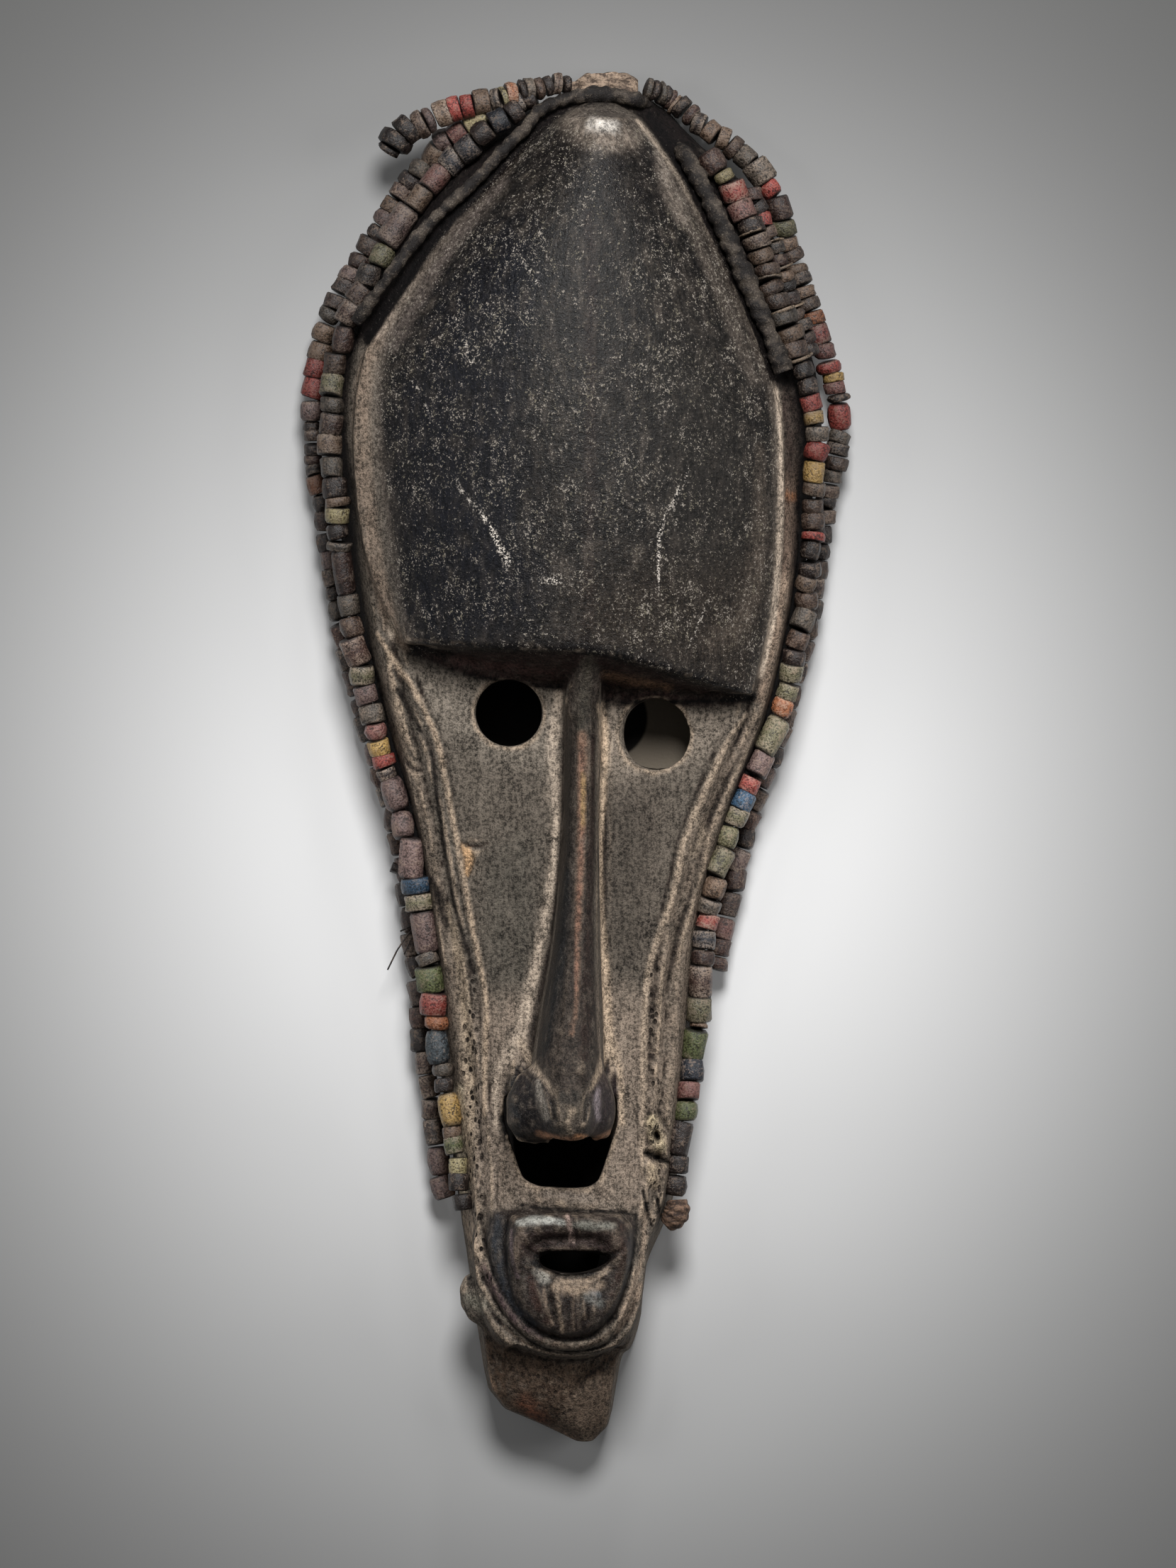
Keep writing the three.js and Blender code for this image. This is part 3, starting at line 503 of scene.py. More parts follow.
LINES = [
    # The forehead's crest, its worn apex with a painted highlight, its black rim over the brow, and the
    # painted shade on and below the brow's underside.
    ([(5, 196, 4), (6, 150), (5.6, 100), (4.6, 46)], 3.6, (60, 42, 38), 0.15),
    ([(0, 230, 8), (9, 226, 10), (20, 225, 7)], 10, (128, 116, 105), 0.75),
    # Painted highlight: a pale gloss spot on the apex.
    ([(6.5, 229.6), (14, 229)], 3.6, (206, 199, 190), 1.0),
    ([(31, 219, 3), (34, 207, 5), (40, 194, 4)], 5, (126, 115, 105), 0.8),
    ([(42, 192, 3), (50, 175, 4), (58, 156, 4), (65, 136, 3)], 4, (96, 87, 79), 0.6),
    ([(67, 112, 3), (67, 80, 5), (61, 50, 7), (50, 42, 6)], 6, (88, 78, 69), 0.6),
    ([(-66, 148, 3), (-58, 164, 3.6), (-47, 182, 3.6), (-37, 196, 4.4), (-26, 209, 3)],
     6, (104, 94, 88), 0.65),
    ([(-58, 40.5), (-20, 40.2), (4, 39.4), (22, 35.4), (45, 28.4), (64, 22.6)], 3.6, (22, 20, 20), 1.2),
    ([(-44, 35), (-24, 32.6), (-8, 31)], 2.6, (84, 62, 58), 0.6),
    ([(11, 30), (20, 28), (34, 25.6)], 2.6, (118, 92, 72), 0.7),
    # Painted shadow: near-black lines along the foot of the brow's underside, at the left and at the right.
    ([(-59, 38), (-46, 32.4), (-30, 28.4), (-12, 26), (-5, 25.6)], 1.5, (14, 11, 11), 0.9),
    ([(9.4, 20.6), (24, 20), (44, 20.4), (64, 21.4)], 1.6, (10, 8, 8), 1.2),
    # Its bevels: mottled on the left, a thin worn edge at the upper left and down the right.
    ([(-61, 39, 1.8), (-64.5, 44, 3), (-67.8, 52, 4.4), (-72.4, 70, 4.6), (-75.6, 95, 4.6),
      (-77.4, 120, 4.6), (-76, 140, 4.2), (-71, 152, 3)], 5, (128, 112, 98), 0.95),
    ([(-71, 153, 2.8), (-62.6, 167, 2.4), (-49.4, 187.6, 2), (-38.8, 201, 1.9), (-29, 212.4, 1.9),
      (-18.6, 224.4, 2), (-9, 231.4, 2)], 2, (152, 137, 123), 0.9),
    ([(23, 231, 1.4), (30, 222.6, 1.8), (37, 212.4, 2), (43, 202, 1.7), (48, 192.4, 1.5),
      (54.8, 178.8, 1.3), (62, 161.8, 1.2), (68.2, 146.2, 1.2), (73.6, 130, 1.4), (74.8, 104.5, 1.6),
      (74.2, 78, 1.8), (72, 52, 1.8), (67.4, 30, 1.6)], 1.6, (198, 180, 161), 1.0),
    ([(78, 95), (82, 94.4)], 2.6, (160, 108, 72), 0.8),
    ([(-67, 49, 2), (-66, 44, 2)], 3, (196, 180, 162), 0.8),
    # The feet of the nose, where pale dust has caught, and the forks round its wings.
    ([(-6, 23, 2.6), (-7.6, 5, 3.6), (-7, -20, 2.4), (-7.2, -32, 2), (-9.4, -50, 2.6), (-12, -66, 3),
      (-16, -84, 3.4), (-19.5, -98, 3.6), (-23, -106, 3.4), (-27.4, -113, 2.4), (-28.8, -122, 1.8),
      (-28.4, -133, 1.4)], 3, (176, 160, 143), 0.95),
    ([(9.6, 19, 2), (10.6, 5, 2.8), (9.6, -20, 1.8), (9, -32, 1.5), (9.2, -50, 1.8), (9.9, -66, 2.5),
      (11, -84, 2.9), (11.6, -97, 3.2), (13.4, -106, 3.2), (16.2, -113, 1.8), (16.9, -122, 1.6),
      (17, -133, 1.3)], 2.4, (182, 161, 138), 0.95),
    ([(-19.5, -103, 2.6), (-16.6, -109, 2.2), (-12.9, -113.8, 1.7), (-10.1, -117.3, 1.5), (-8.1, -121, 1)],
     2, (170, 152, 133), 0.95),
    ([(12, -104, 2.4), (9.6, -111, 2), (7.7, -115.4, 1.7), (5.7, -119.7, 1.2)], 2, (174, 154, 132), 0.95),
    # The nose: its root, black left flank, worn streak, dark right edge, reddish tip, painted highlights on
    # its wings and painted shade under its left wing.
    ([(5, 35, 2), (4, 28, 4), (3, 18, 5), (3, 11, 5)], 4, (66, 61, 53), 0.8),
    ([(7, 33, 0.8), (6.4, 18, 0.9), (6.4, 9, 0.8)], 0.9, (44, 38, 33), 0.8),
    ([(1.4, 26, 0.6), (0.6, 16, 0.8), (0.4, 9, 0.8)], 0.8, (44, 38, 33), 0.7),
    ([(-2.2, 10, 1.7), (-2.6, -20, 2.2), (-2.3, -36, 2.4)], 2, (42, 38, 35), 1.0),
    ([(-2.6, -40, 2.4), (-4.9, -66, 4.4), (-9.6, -95, 4.6), (-12, -107, 3)], 3, (32, 31, 31), 1.1),
    ([(2.8, 8, 2.8), (2.6, -14, 2.6), (2, -38, 2.2), (1, -66, 1.7), (0.6, -88, 1.2), (-1, -100, 1)], 2,
     (112, 88, 73), 0.95),
    ([(2.4, 4, 1.2), (2.6, -20, 1.4), (2, -40, 1.3), (1, -66, 1), (0.6, -84, 0.8)], 1, (128, 94, 78), 0.65),
    ([(3, -6), (3, -24)], 1.5, (146, 122, 80), 0.6),
    ([(4.8, -10, 0.7), (4.4, -40, 0.7), (3.2, -70, 0.7), (2.4, -90, 0.6)], 0.7, (26, 21, 19), 0.8),
    ([(6.4, 8, 1.2), (6.4, -20, 1.4), (5.8, -32, 1.8), (4.8, -66, 2.6), (4.4, -95, 3.4), (3, -108, 3)], 1.6,
     (44, 34, 30), 1.0),
    # Painted highlights down the middle of each wing.
    ([(-13.4, -117, 1.4), (-12.2, -124, 2.6), (-10.4, -130, 2.2)], 2.2, (150, 141, 130), 0.8),
    ([(8.4, -120, 1.3), (8, -125, 2), (8.6, -131, 1.3)], 1.7, (156, 143, 146), 0.8),
    ([(-22.4, -116, 2), (-23, -124, 3), (-20.6, -132, 3)], 3, (38, 39, 41), 0.8),
    ([(-13, -136, 1.8), (-8, -137.4), (-3, -139, 3), (3, -139.6, 2.8), (9, -137.8, 1.8), (14, -134.6, 1)],
     2, (190, 142, 112), 0.95),
    ([(0.6, -137.4), (3.8, -137.6)], 2, (206, 150, 108), 0.9),
    # Painted shade under the left wing, at the edge of the gap.
    ([(-26, -131.6, 1.2), (-21, -135.8, 2), (-15, -139, 1.4)], 1.6, (14, 12, 12), 1.1),
    # The crests of the cheeks and the strips beside them.
    ([(-71.6, 44.8, 1), *LEFT_CREST, (-33, -130, 0.8)], 1.6, (168, 148, 127), 0.9),
    ([(62, 16, 1), *RIGHT_CREST, (24.6, -127.5), (24.4, -150, 1)], 1.7, (166, 148, 129), 0.85),
    ([(-64.3, 24.8), *LEFT_GROOVE, (-36.7, -78)], 1.3, (34, 29, 26), 0.9),
    ([(-46, -54, 2), (-42, -72, 2.8), (-39.4, -95, 3.4), (-38.6, -125, 4.4), (-40, -158, 5)],
     4, (158, 141, 121), 0.85),
    ([(-52, -44, 2), (-48.8, -52.2, 3), (-46, -62, 2)], 3, (34, 28, 25), 0.9),
    ([(-42.5, -57), (-41, -67), (-38.4, -79), (-36.8, -95)], 0.8, (48, 41, 36), 0.6),
    (RIGHT_GROOVE, 1.3, (52, 45, 40), 0.7),
    ([(-42, -163), (-38, -174), (-34, -184)], 4, (140, 124, 107), 0.7),
    # The lug, the block and the splits under it, and the chip out of the left crest.
    ([(28.2, -132), (30.8, -141)], 3.8, (182, 166, 136), 0.85),
    ([(29.2, -136), (29.9, -138)], 1.8, (20, 16, 13), 1.2),
    ([(25.6, -143.2), (29.4, -144.9), (34, -146.6)], 1.6, (20, 16, 13), 1.1),
    ([(28.2, -148.6), (28.6, -154)], 3.2, (170, 152, 128), 0.8),
    ([(24.8, -157), (26, -163.5), (28, -170)], 0.9, (18, 14, 12), 1.2),
    ([(29.8, -160), (31, -166), (31.4, -172)], 0.9, (18, 14, 12), 1.2),
    ([(43.4, -20, 2), (46, -28, 2.6), (42.6, -36, 2)], 3, (156, 140, 122), 0.7),
    ([(-41, -31.5, 1), (-38.4, -36, 2.8), (-39, -42, 1.4)], 3, (196, 160, 122), 0.95),
    ([(-41, -30.6), (-36.6, -32.2), (-31.5, -31)], 0.9, (40, 30, 24), 0.9),
    # The muzzle: slate at its left side, a painted highlight along the upper lip with a nick, a torn lower
    # lip with painted highlights, and painted shade in the mouth's left corner.
    ([(-28, -167, 2.6), (-28.6, -176, 4.2), (-27, -187, 3.8), (-22.6, -197, 2.8), (-15, -205, 2.2)],
     3, (44, 46, 50), 0.95),
    ([(-24.6, -169), (-24.6, -182), (-22.4, -190)], 1.0, (20, 18, 20), 0.9),
    ([(-23, -171), (-22.8, -180), (-20.6, -188)], 0.9, (104, 90, 92), 0.7),
    # Painted highlights along the upper lip, brightest at its left and greyer at its right.
    ([(-20.4, -168.4, 1.6), (-15, -167.6, 2.6), (-9, -167.4, 2), (-4.4, -168.4, 1.6)],
     2.6, (172, 171, 163), 1.0),
    ([(0, -169, 2), (6, -169.4, 2.8), (14, -169.4, 2)], 2.2, (118, 116, 107), 0.85),
    ([(-2.7, -165.8), (-1.8, -170), (-0.8, -175)], 1.2, (172, 148, 137), 1.0),
    ([(-0.6, -166.4), (0.2, -170), (1.2, -174)], 0.7, (34, 28, 26), 0.9),
    ([(-19.5, -162.3), (-9, -163.3), (3, -164), (13.6, -164.5), (21, -165.4)], 1.0, (22, 18, 16), 1.1),
    ([(-14.2, -186, 1.8), (-11, -188.6, 3)], 2.4, (166, 161, 151), 0.9),
    # Painted highlight on the lower lip.
    ([(6, -193.4), (8.4, -194.4)], 2, (104, 110, 114), 0.8),
    ([(-6.4, -189.2), (0, -189.6), (7, -188.6), (12.4, -185)], 1.2, (164, 145, 126), 0.95),
    ([(-7, -191.6, 2.4), (1, -192.6, 3.8), (9, -190.8, 2.6)], 3.4, (154, 135, 116), 0.9),
    ([(2.8, -195), (3.4, -203)], 0.9, (138, 120, 103), 0.7),
    ([(7.4, -193), (6.6, -200)], 0.8, (128, 112, 98), 0.6),
    # Painted highlight on the lower lip.
    ([(4, -195, 2.6), (9, -197.4, 2.8)], 2.6, (106, 106, 102), 0.7),
    ([(-11.2, -192), (-10.2, -199), (-8, -205)], 1.0, (132, 114, 98), 0.7),
    ([(-6.3, -192), (-5.6, -200), (-4.4, -208)], 1.0, (146, 128, 110), 0.8),
    ([(-1, -195), (-0.6, -207)], 0.8, (120, 104, 90), 0.6),
    # Painted shade in the left corner of the mouth.
    ([(-15.4, -182.8, 1), (-12, -183, 2), (-8, -183, 2.6)], 2, (14, 11, 10), 1.4),
    ([(-10, -157.6, 2.6), (-2, -158.6, 3), (6, -159.6, 2.6)], 3, (150, 137, 125), 0.6),
    ([(-8.6, -194), (-7.8, -203)], 0.7, (34, 27, 24), 0.8),
    ([(-3.4, -196), (-2.4, -207)], 0.7, (34, 27, 24), 0.7),
    ([(-16, -188, 2), (-14, -197), (-10, -204, 2)], 2.4, (66, 48, 42), 0.7),
    ([(17, -170, 2), (17.6, -182), (13, -194, 2)], 2.2, (60, 47, 41), 0.8),
    ([(22, -165), (21.8, -176), (19.4, -187.3), (14.4, -200.6), (7, -208.6)], 1.1, (18, 15, 14), 1.1),
    # The collars round the chin.
    ([(25.4, -166), (24.6, -178), (21.6, -190), (17, -202)], 1.8, (150, 132, 115), 0.8),
    ([(23.4, -191, 2), (20.4, -200, 3), (15, -207.4, 2)], 3, (130, 113, 98), 0.8),
    ([(-38, -164), (-36, -174), (-31.6, -186), (-28, -195)], 1.2, (154, 137, 120), 0.8),
    ([(-33.4, -184, 2.4), (-28.6, -194, 2.8), (-21, -204.6, 2.4), (-12, -211, 1.6)], 2.4, (76, 62, 62), 0.9),
    ([*MUZZLE_GROOVE, (-2, -210.8), (6.5, -209.4)], 0.9, (20, 16, 15), 1.0),
    ([*COLLAR_GROOVE, (22.2, -197.4)], 0.8, (24, 19, 17), 0.9),
    ([(-14, -210.8, 1.6), (-4, -213), (5, -212.8), (13, -208, 1.4)], 1.6, (70, 59, 50), 0.9),
    ([(-26, -206), (-15, -213.8), (-3, -216.8), (9, -215.8), (18, -208.6)], 0.7, (124, 108, 93), 0.6),
    ([(-38, -196.5), (-34.5, -198.5)], 4.4, (120, 115, 103), 0.9),
    ([(-38.8, -184), (-37.6, -191)], 1.9, (14, 12, 12), 1.2),
    # The chin's worn and reddish lower edge.
    ([(-33, -222, 2), (-26, -237.6, 4), (-16, -243, 4), (-2, -247, 3)], 4, (128, 106, 88), 0.85),
    ([(-18, -234, 5), (-12, -240, 5)], 5, (120, 72, 52), 0.4),
]
for corners, soft, inset, colour, strength in AREAS:
    brush(np.where(front, strength * inside(wood_places, corners, soft, inset), 0), colour, 0.6)
dirt_in_hollows = eased(-fine_bulge, 0.08, 0.34) + 0.6 * eased(-broad_bulge, 0.5, 1.8)
brush(np.minimum(dirt_in_hollows, 0.85), (38, 31, 27))
muzzle = np.where(front, inside(wood_places, MUZZLE, 4.0), 0)
nose = np.where(front, inside(wood_places, NOSE, 3.0), 0)
rubbed = 0.7 * eased(fine_bulge, 0.1, 0.34) * (1 - 0.7 * muzzle - 0.6 * nose)
brush(rubbed * (1 - 0.5 * eased(-wood_places[:, 1], 186, 206)), (160, 142, 123))
for points, width, colour, strength in LINES:
    brush(np.where(front, strength * nearness(wood_places, points, width), 0), colour)

# The wood under the strings of beads is painted near black as their shade, in a strip that narrows down the
# cheeks.
for node in (
    "left_outer_bead_string", "left_inner_bead_string", "right_outer_bead_string", "right_inner_bead_string",
    "crown_bead_string", "forehead_cord",
):
    under = []
    for point in middle_line(node)[::3]:
        x, y, _ = point / MM
        under.append((x, y, 8.4 - 3.6 * float(eased(-y, 50, 110))))
    brush(2.6 * nearness(wood_places, under, 8), (20, 15, 14), 0.4)

# Beside the left strings the wood is rubbed bare.
BARE_STRIP = [(-42, -120), (-41.6, -135), (-41, -150), (-40.6, -160)]
brush(np.where(front, 0.85 * nearness(wood_places, BARE_STRIP, 2.6), 0), (200, 184, 158))

# The gaps between the wood and the strings beside the crown, the inner walls of the nose's gap and the mouth,
# and the mouth's front are painted near black as their shade.
CROWN_GAPS = [
    [(28, 233, 3), (33.6, 224, 4), (41, 212, 3.6), (46.4, 203, 2.6), (51.6, 193, 2.2), (58, 180, 2),
     (65, 163.6, 2), (71, 148, 2), (75.4, 137, 1.6)],
    [(-75.4, 151, 2.4), (-67.4, 164, 3.6), (-53, 184.6, 2.8), (-42.4, 198.6, 2.4), (-32, 210.4, 2.2),
     (-24, 219, 1.6)],
]
for gap in CROWN_GAPS:
    brush(np.where(wood_places[:, 2] > 14, 1.6 * nearness(wood_places, gap, 2), 0), (12, 9, 9), 0.3)
for outline, face_height in ((GAP, 43.5), (MOUTH, 55.8)):
    brush(inside(wood_places, outline, 2.0, -1.5) * (wood_places[:, 2] < face_height), (16, 12, 11), 0.2)
brush(np.where(front, inside(wood_places, MOUTH, 1.4), 0), (14, 11, 10), 0.2)

# What the finish's own patterns need to know: where the wood is black, polished, scored, eaten or
# out of sight. Each is a value from 0 to 1.
SCORED_LINES = [
    ([(-44.3, 160.4, 1), (-38, 145.5), (-35.8, 137, 1)], 1.5, 0.8),
    ([(-59, 137, 1), (-54, 128), (-50.6, 120, 1)], 1.4, 0.7),
    ([(-26.3, 188.9, 1), (-19, 180), (-12.5, 170.9, 1)], 1.6, 0.9),
    ([(-43.5, 102, 1), (-41, 96), (-34, 88, 1.5), (-30.5, 83.4, 2), (-27, 76.3, 2.4), (-24.3, 71.7, 3),
      (-20.7, 68.6, 3), (-14.3, 65.2, 2.4), (-8, 64, 2.8), (-4.6, 64, 2)], 1.4, 1.0),
    ([(41.6, 106, 1), (37.8, 96, 1.6), (33.3, 88.8), (30.7, 80), (30.3, 61.9, 1)], 1.4, 0.9),
    ([(50.4, 61.9, 1), (45, 49), (39.7, 36.7, 1)], 1.3, 0.7),
    ([(36, 90, 1), (37, 82, 1)], 1.2, 0.6),
    ([(46, 150, 1), (54, 140, 1)], 1.8, 0.6),
    ([(18, 176, 1), (26, 166, 1)], 1.6, 0.6),
    ([(-2, 60, 1), (6, 57.4), (12, 53, 1)], 2, 0.6),
    ([(-26, 47, 1), (-23, 44, 1)], 1.8, 0.8),
]
FOREHEAD_SIDE = 18  # height up to which the forehead's side is bare
black = np.where(front, inside(wood_places, FOREHEAD, 5.0) * (wood_places[:, 2] > FOREHEAD_SIDE), 0)
polished = black
for outline, strength in ((MUZZLE, 0.9), (LEFT_WING, 0.9), (RIGHT_WING, 0.9), (NOSE, 0.6)):
    polished = np.maximum(polished, np.where(front, strength * inside(wood_places, outline, 3.0), 0))
polished = polished * (1 - inside(wood_places, BROW_UNDERSIDE, 2.0))
hidden = eased(-wood_normals[:, 2], -0.2, 0.5)


def write_values(mesh, name, values):
    """Keeps a value from 0 to 1 for each vertex, which a finish reads by its name."""
    attribute = mesh.attributes.new(name, "FLOAT", "POINT")
    attribute.data.foreach_set("value", np.clip(values, 0, 1).astype(np.float32))


tint = np.hstack([paint, np.ones((len(paint), 1))]).astype(np.float32)
wood.data.attributes.new("paint", "FLOAT_COLOR", "POINT").data.foreach_set("color", tint.ravel())
write_values(wood.data, "polished", polished)
write_values(wood.data, "black", black)
write_values(wood.data, "pits", rough_edges)
write_values(wood.data, "scored", strongest(SCORED_LINES))
write_values(wood.data, "hidden", hidden)
dense_triangles = 2 * len(wood.data.polygons)
apply_modifier(wood, "DECIMATE", {"ratio": WOOD_TRIANGLES / dense_triangles})
wood.data.polygons.foreach_set("use_smooth", [True] * len(wood.data.polygons))


class Value:
    """A number or colour that varies over a surface: one output socket, usable in sums."""

    def __init__(self, finish, socket):
        self.finish = finish
        self.socket = socket

    def combined(self, operation, *terms):
        return self.finish.node("ShaderNodeMath", {"operation": operation}, dict(enumerate(terms)))

    def other(self, output):
        """Another output of the same node."""
        return Value(self.finish, self.socket.node.outputs[output])

    def __add__(self, other):
        return self.combined("ADD", self, other)

    def __sub__(self, other):
        return self.combined("SUBTRACT", self, other)

    def __rsub__(self, other):
        return self.combined("SUBTRACT", other, self)

    def __mul__(self, other):
        return self.combined("MULTIPLY", self, other)

    __radd__ = __add__
    __rmul__ = __mul__

    def over(self, low, high):
        """0 below low, 1 above high and smooth between them."""
        inputs = {"Value": self, "From Min": low, "From Max": high}
        return self.finish.node("ShaderNodeMapRange", {"interpolation_type": "SMOOTHSTEP"}, inputs)

    def at_most(self, other):
        return self.combined("MINIMUM", self, other)

    def at_least(self, other):
        return self.combined("MAXIMUM", self, other)


class Finish:
    """One material, put together from procedural nodes."""

    def __init__(self, name):
        self.material = bpy.data.materials.new(name)
        self.material.use_nodes = True
        self.tree = self.material.node_tree
        self.tree.nodes.clear()
        coordinates = self.node("ShaderNodeTexCoord", {}, {}, "Object")
        self.mm = self.node("ShaderNodeVectorMath", {"operation": "SCALE"}, {0: coordinates, "Scale": 1 / MM})

    def node(self, kind, settings, inputs, output=0):
        """A new node's output. Settings come first, then the values or links of its sockets."""
        node = self.tree.nodes.new(kind)
        for setting, value in settings.items():
            setattr(node, setting, value)
        for socket, value in inputs.items():
            if isinstance(value, Value):
                self.tree.links.new(value.socket, node.inputs[socket])
            else:
                node.inputs[socket].default_value = value
        return None if output is None else Value(self, node.outputs[output])

    def stretched(self, x, y, z, turn=0.0, shift=0.0):
        """The place on the piece in millimetres, turned about Z, then stretched and shifted."""
        turned = self.node("ShaderNodeMapping", {}, {"Vector": self.mm, "Rotation": (0, 0, turn)})
        inputs = {"Vector": turned, "Scale": (x, y, z), "Location": (shift, 0, shift)}
        return self.node("ShaderNodeMapping", {}, inputs)

    def grain(self, vector, scale, detail=2.0, roughness=0.5):
        inputs = {"Vector": vector, "Scale": scale, "Detail": detail, "Roughness": roughness}
        return self.node("ShaderNodeTexNoise", {}, inputs)

    def attribute(self, name, output="Fac"):
        return self.node("ShaderNodeAttribute", {"attribute_name": name}, {}, output)

    def blend(self, share, first, second, kind="MIX"):
        """The first colour where the share is 0 and the second where it is 1."""
        settings = {"data_type": "RGBA", "blend_type": kind, "clamp_factor": True}
        first, second = ((*colour, 1) if isinstance(colour, tuple) else colour for colour in (first, second))
        return self.node("ShaderNodeMix", settings, {0: share, 6: first, 7: second}, 2)

    def surface(self, colour, roughness, height, depth, sheen=0.35):
        """Joins the colour, the roughness and the relief, and returns the material."""
        bump = self.node("ShaderNodeBump", {}, {"Height": height, "Distance": depth * MM, "Strength": 1.0})
        inputs = {"Base Color": colour, "Roughness": roughness, "Normal": bump, "Specular IOR Level": sheen}
        shader = self.node("ShaderNodeBsdfPrincipled", {}, inputs)
        self.node("ShaderNodeOutputMaterial", {}, {"Surface": shader}, None)
        return self.material


def carved_wood():
    finish = Finish("carved_wood")
    paint = finish.attribute("paint", "Color")
    polished, black, pits = finish.attribute("polished"), finish.attribute("black"), finish.attribute("pits")
    scored, hidden = finish.attribute("scored"), finish.attribute("hidden")
    fibres = finish.grain(finish.stretched(1.0, 0.16, 1.0), 0.9, 4, 0.65)
    grit = finish.grain(finish.mm, 0.75, 3, 0.7)
    fine = finish.grain(finish.mm, 1.8, 2, 0.6)
    patches = finish.grain(finish.mm, 0.05, 3, 0.6)
    blotches = finish.grain(finish.stretched(1.0, 0.6, 1.0), 0.2, 4, 0.65)

    # Weathered wood is a crust of light and dark grains. Where it is polished it is darker and plainer.
    streaks = finish.grain(finish.stretched(1.0, 0.3, 1.0), 0.5, 4, 0.7)
    grains = grit * 0.42 + fine * 0.26 + fibres * 0.18 + streaks * 0.14
    share = grains.over(0.41, 0.59)
    light = 0.34 + share * 1.25 + (blotches - 0.5) * 1.4 + (patches - 0.5) * 0.7
    even = 0.4 + share * 0.95 + (blotches - 0.5) * 1.2
    light = light + (even - light) * polished
    inputs = {0: paint, "Scale": light.at_least(0.15)}
    base = finish.node("ShaderNodeVectorMath", {"operation": "SCALE"}, inputs)

    # Pale specks of dust sit in the pores of the black, thicker in some drifts than in others.
    drift = (patches - 0.5) * 0.35 + (blotches - 0.5) * 0.45
    specks = (fine * 0.5 + grit * 0.5 + drift * 0.5).over(0.57, 0.62)
    dust = finish.blend(streaks.over(0.42, 0.54), screen(113, 107, 92), screen(149, 141, 131))
    base = finish.blend(specks * (black * 0.76 + polished * 0.14), base, dust)
    nicks = None
    for turn, shift in ((0.35, 0), (-0.75, 90)):
        place = finish.stretched(1.7, 0.5, 0.5, turn, shift)
        cells = finish.node("ShaderNodeTexVoronoi", {"feature": "F1"}, {"Vector": place, "Scale": 0.72})
        chosen = finish.node("ShaderNodeSeparateColor", {}, {"Color": cells.other("Color")})
        stroke = (1 - cells.over(0.1, 0.26)) * (chosen + scored * 0.3).over(0.66, 0.92)
        nicks = stroke if nicks is None else nicks.at_least(stroke)
    nicks = nicks * (drift + 0.5).over(0.42, 0.62).at_least(scored) * (black * 0.85 + 0.15)
    base = finish.blend(nicks * 0.85, base, screen(190, 180, 166))
    sparks = (fine * 0.5 + grit * 0.5).over(0.5, 0.55) * scored.over(0.3, 0.7) * black
    base = finish.blend(sparks * 0.95, base, screen(222, 212, 200))

    # Worm holes and open pores.
    place = finish.stretched(1, 0.7, 1)
    holes = finish.node("ShaderNodeTexVoronoi", {"feature": "F1"}, {"Vector": place, "Scale": 0.42})
    holes = (1 - holes.over(0.2, 0.36)) * pits
    base = finish.blend(holes, base, screen(20, 15, 13))

    # The back was never polished: dry, brown and darker with sweat and smoke.
    back = finish.blend((fibres * 0.6 + grit * 0.4).over(0.4, 0.62), screen(40, 31, 25), screen(82, 67, 54))
    base = finish.blend(hidden, base, back)

    rough = 0.8 - polished * 0.44 + (grit - 0.5) * 0.4 + specks * 0.2 + nicks * 0.1
    relief = (grit * 0.8 + fine * 0.4 + fibres * 0.3 + blotches * 0.4) * (1 - black * 0.4)
    height = relief - nicks * 0.3 - holes * 1.4
    return finish.surface(base, rough.at_least(0.22).at_most(0.95), height, 0.7, 0.16)


wood.data.materials.clear()
wood.data.materials.append(carved_wood())
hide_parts("carved_mask")
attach(wood, "root")


# The cord. Two strands of dark bark fibre, twisted hard and stiff with old dirt, are drawn round the
# edge of the forehead and over the crown, between the wood and the beads.
CORD_RADIUS = 2.8
CORD_TWIST = 11.0  # length along the cord in which its strands go once round


class Route:
    """A line through space that gives the place and the direction at a length along it."""

    def __init__(self, points):
        self.points = points
        self.marks = [0.0]
        for a, b in zip(points, points[1:]):
            self.marks.append(self.marks[-1] + (b - a).length)
        self.length = self.marks[-1]

    def at(self, along):
        along = min(max(along, 0), self.length)
        step = min(max(1, int(np.searchsorted(self.marks, along))), len(self.points) - 1)
        share = (along - self.marks[step - 1]) / max(self.marks[step] - self.marks[step - 1], 1e-9)
        return self.points[step - 1].lerp(self.points[step], share)

    def ahead(self, along, reach=3 * MM):
        return (self.at(along + reach) - self.at(along - reach)).normalized()

    def at_height(self, y):
        """The first place on the way down at which the line crosses a height on the mask."""
        for a, b in zip(self.points, self.points[1:]):
            if (a.y - y) * (b.y - y) <= 0 and a.y != b.y:
                return a.lerp(b, (a.y - y) / (a.y - b.y))
        return self.points[-1]


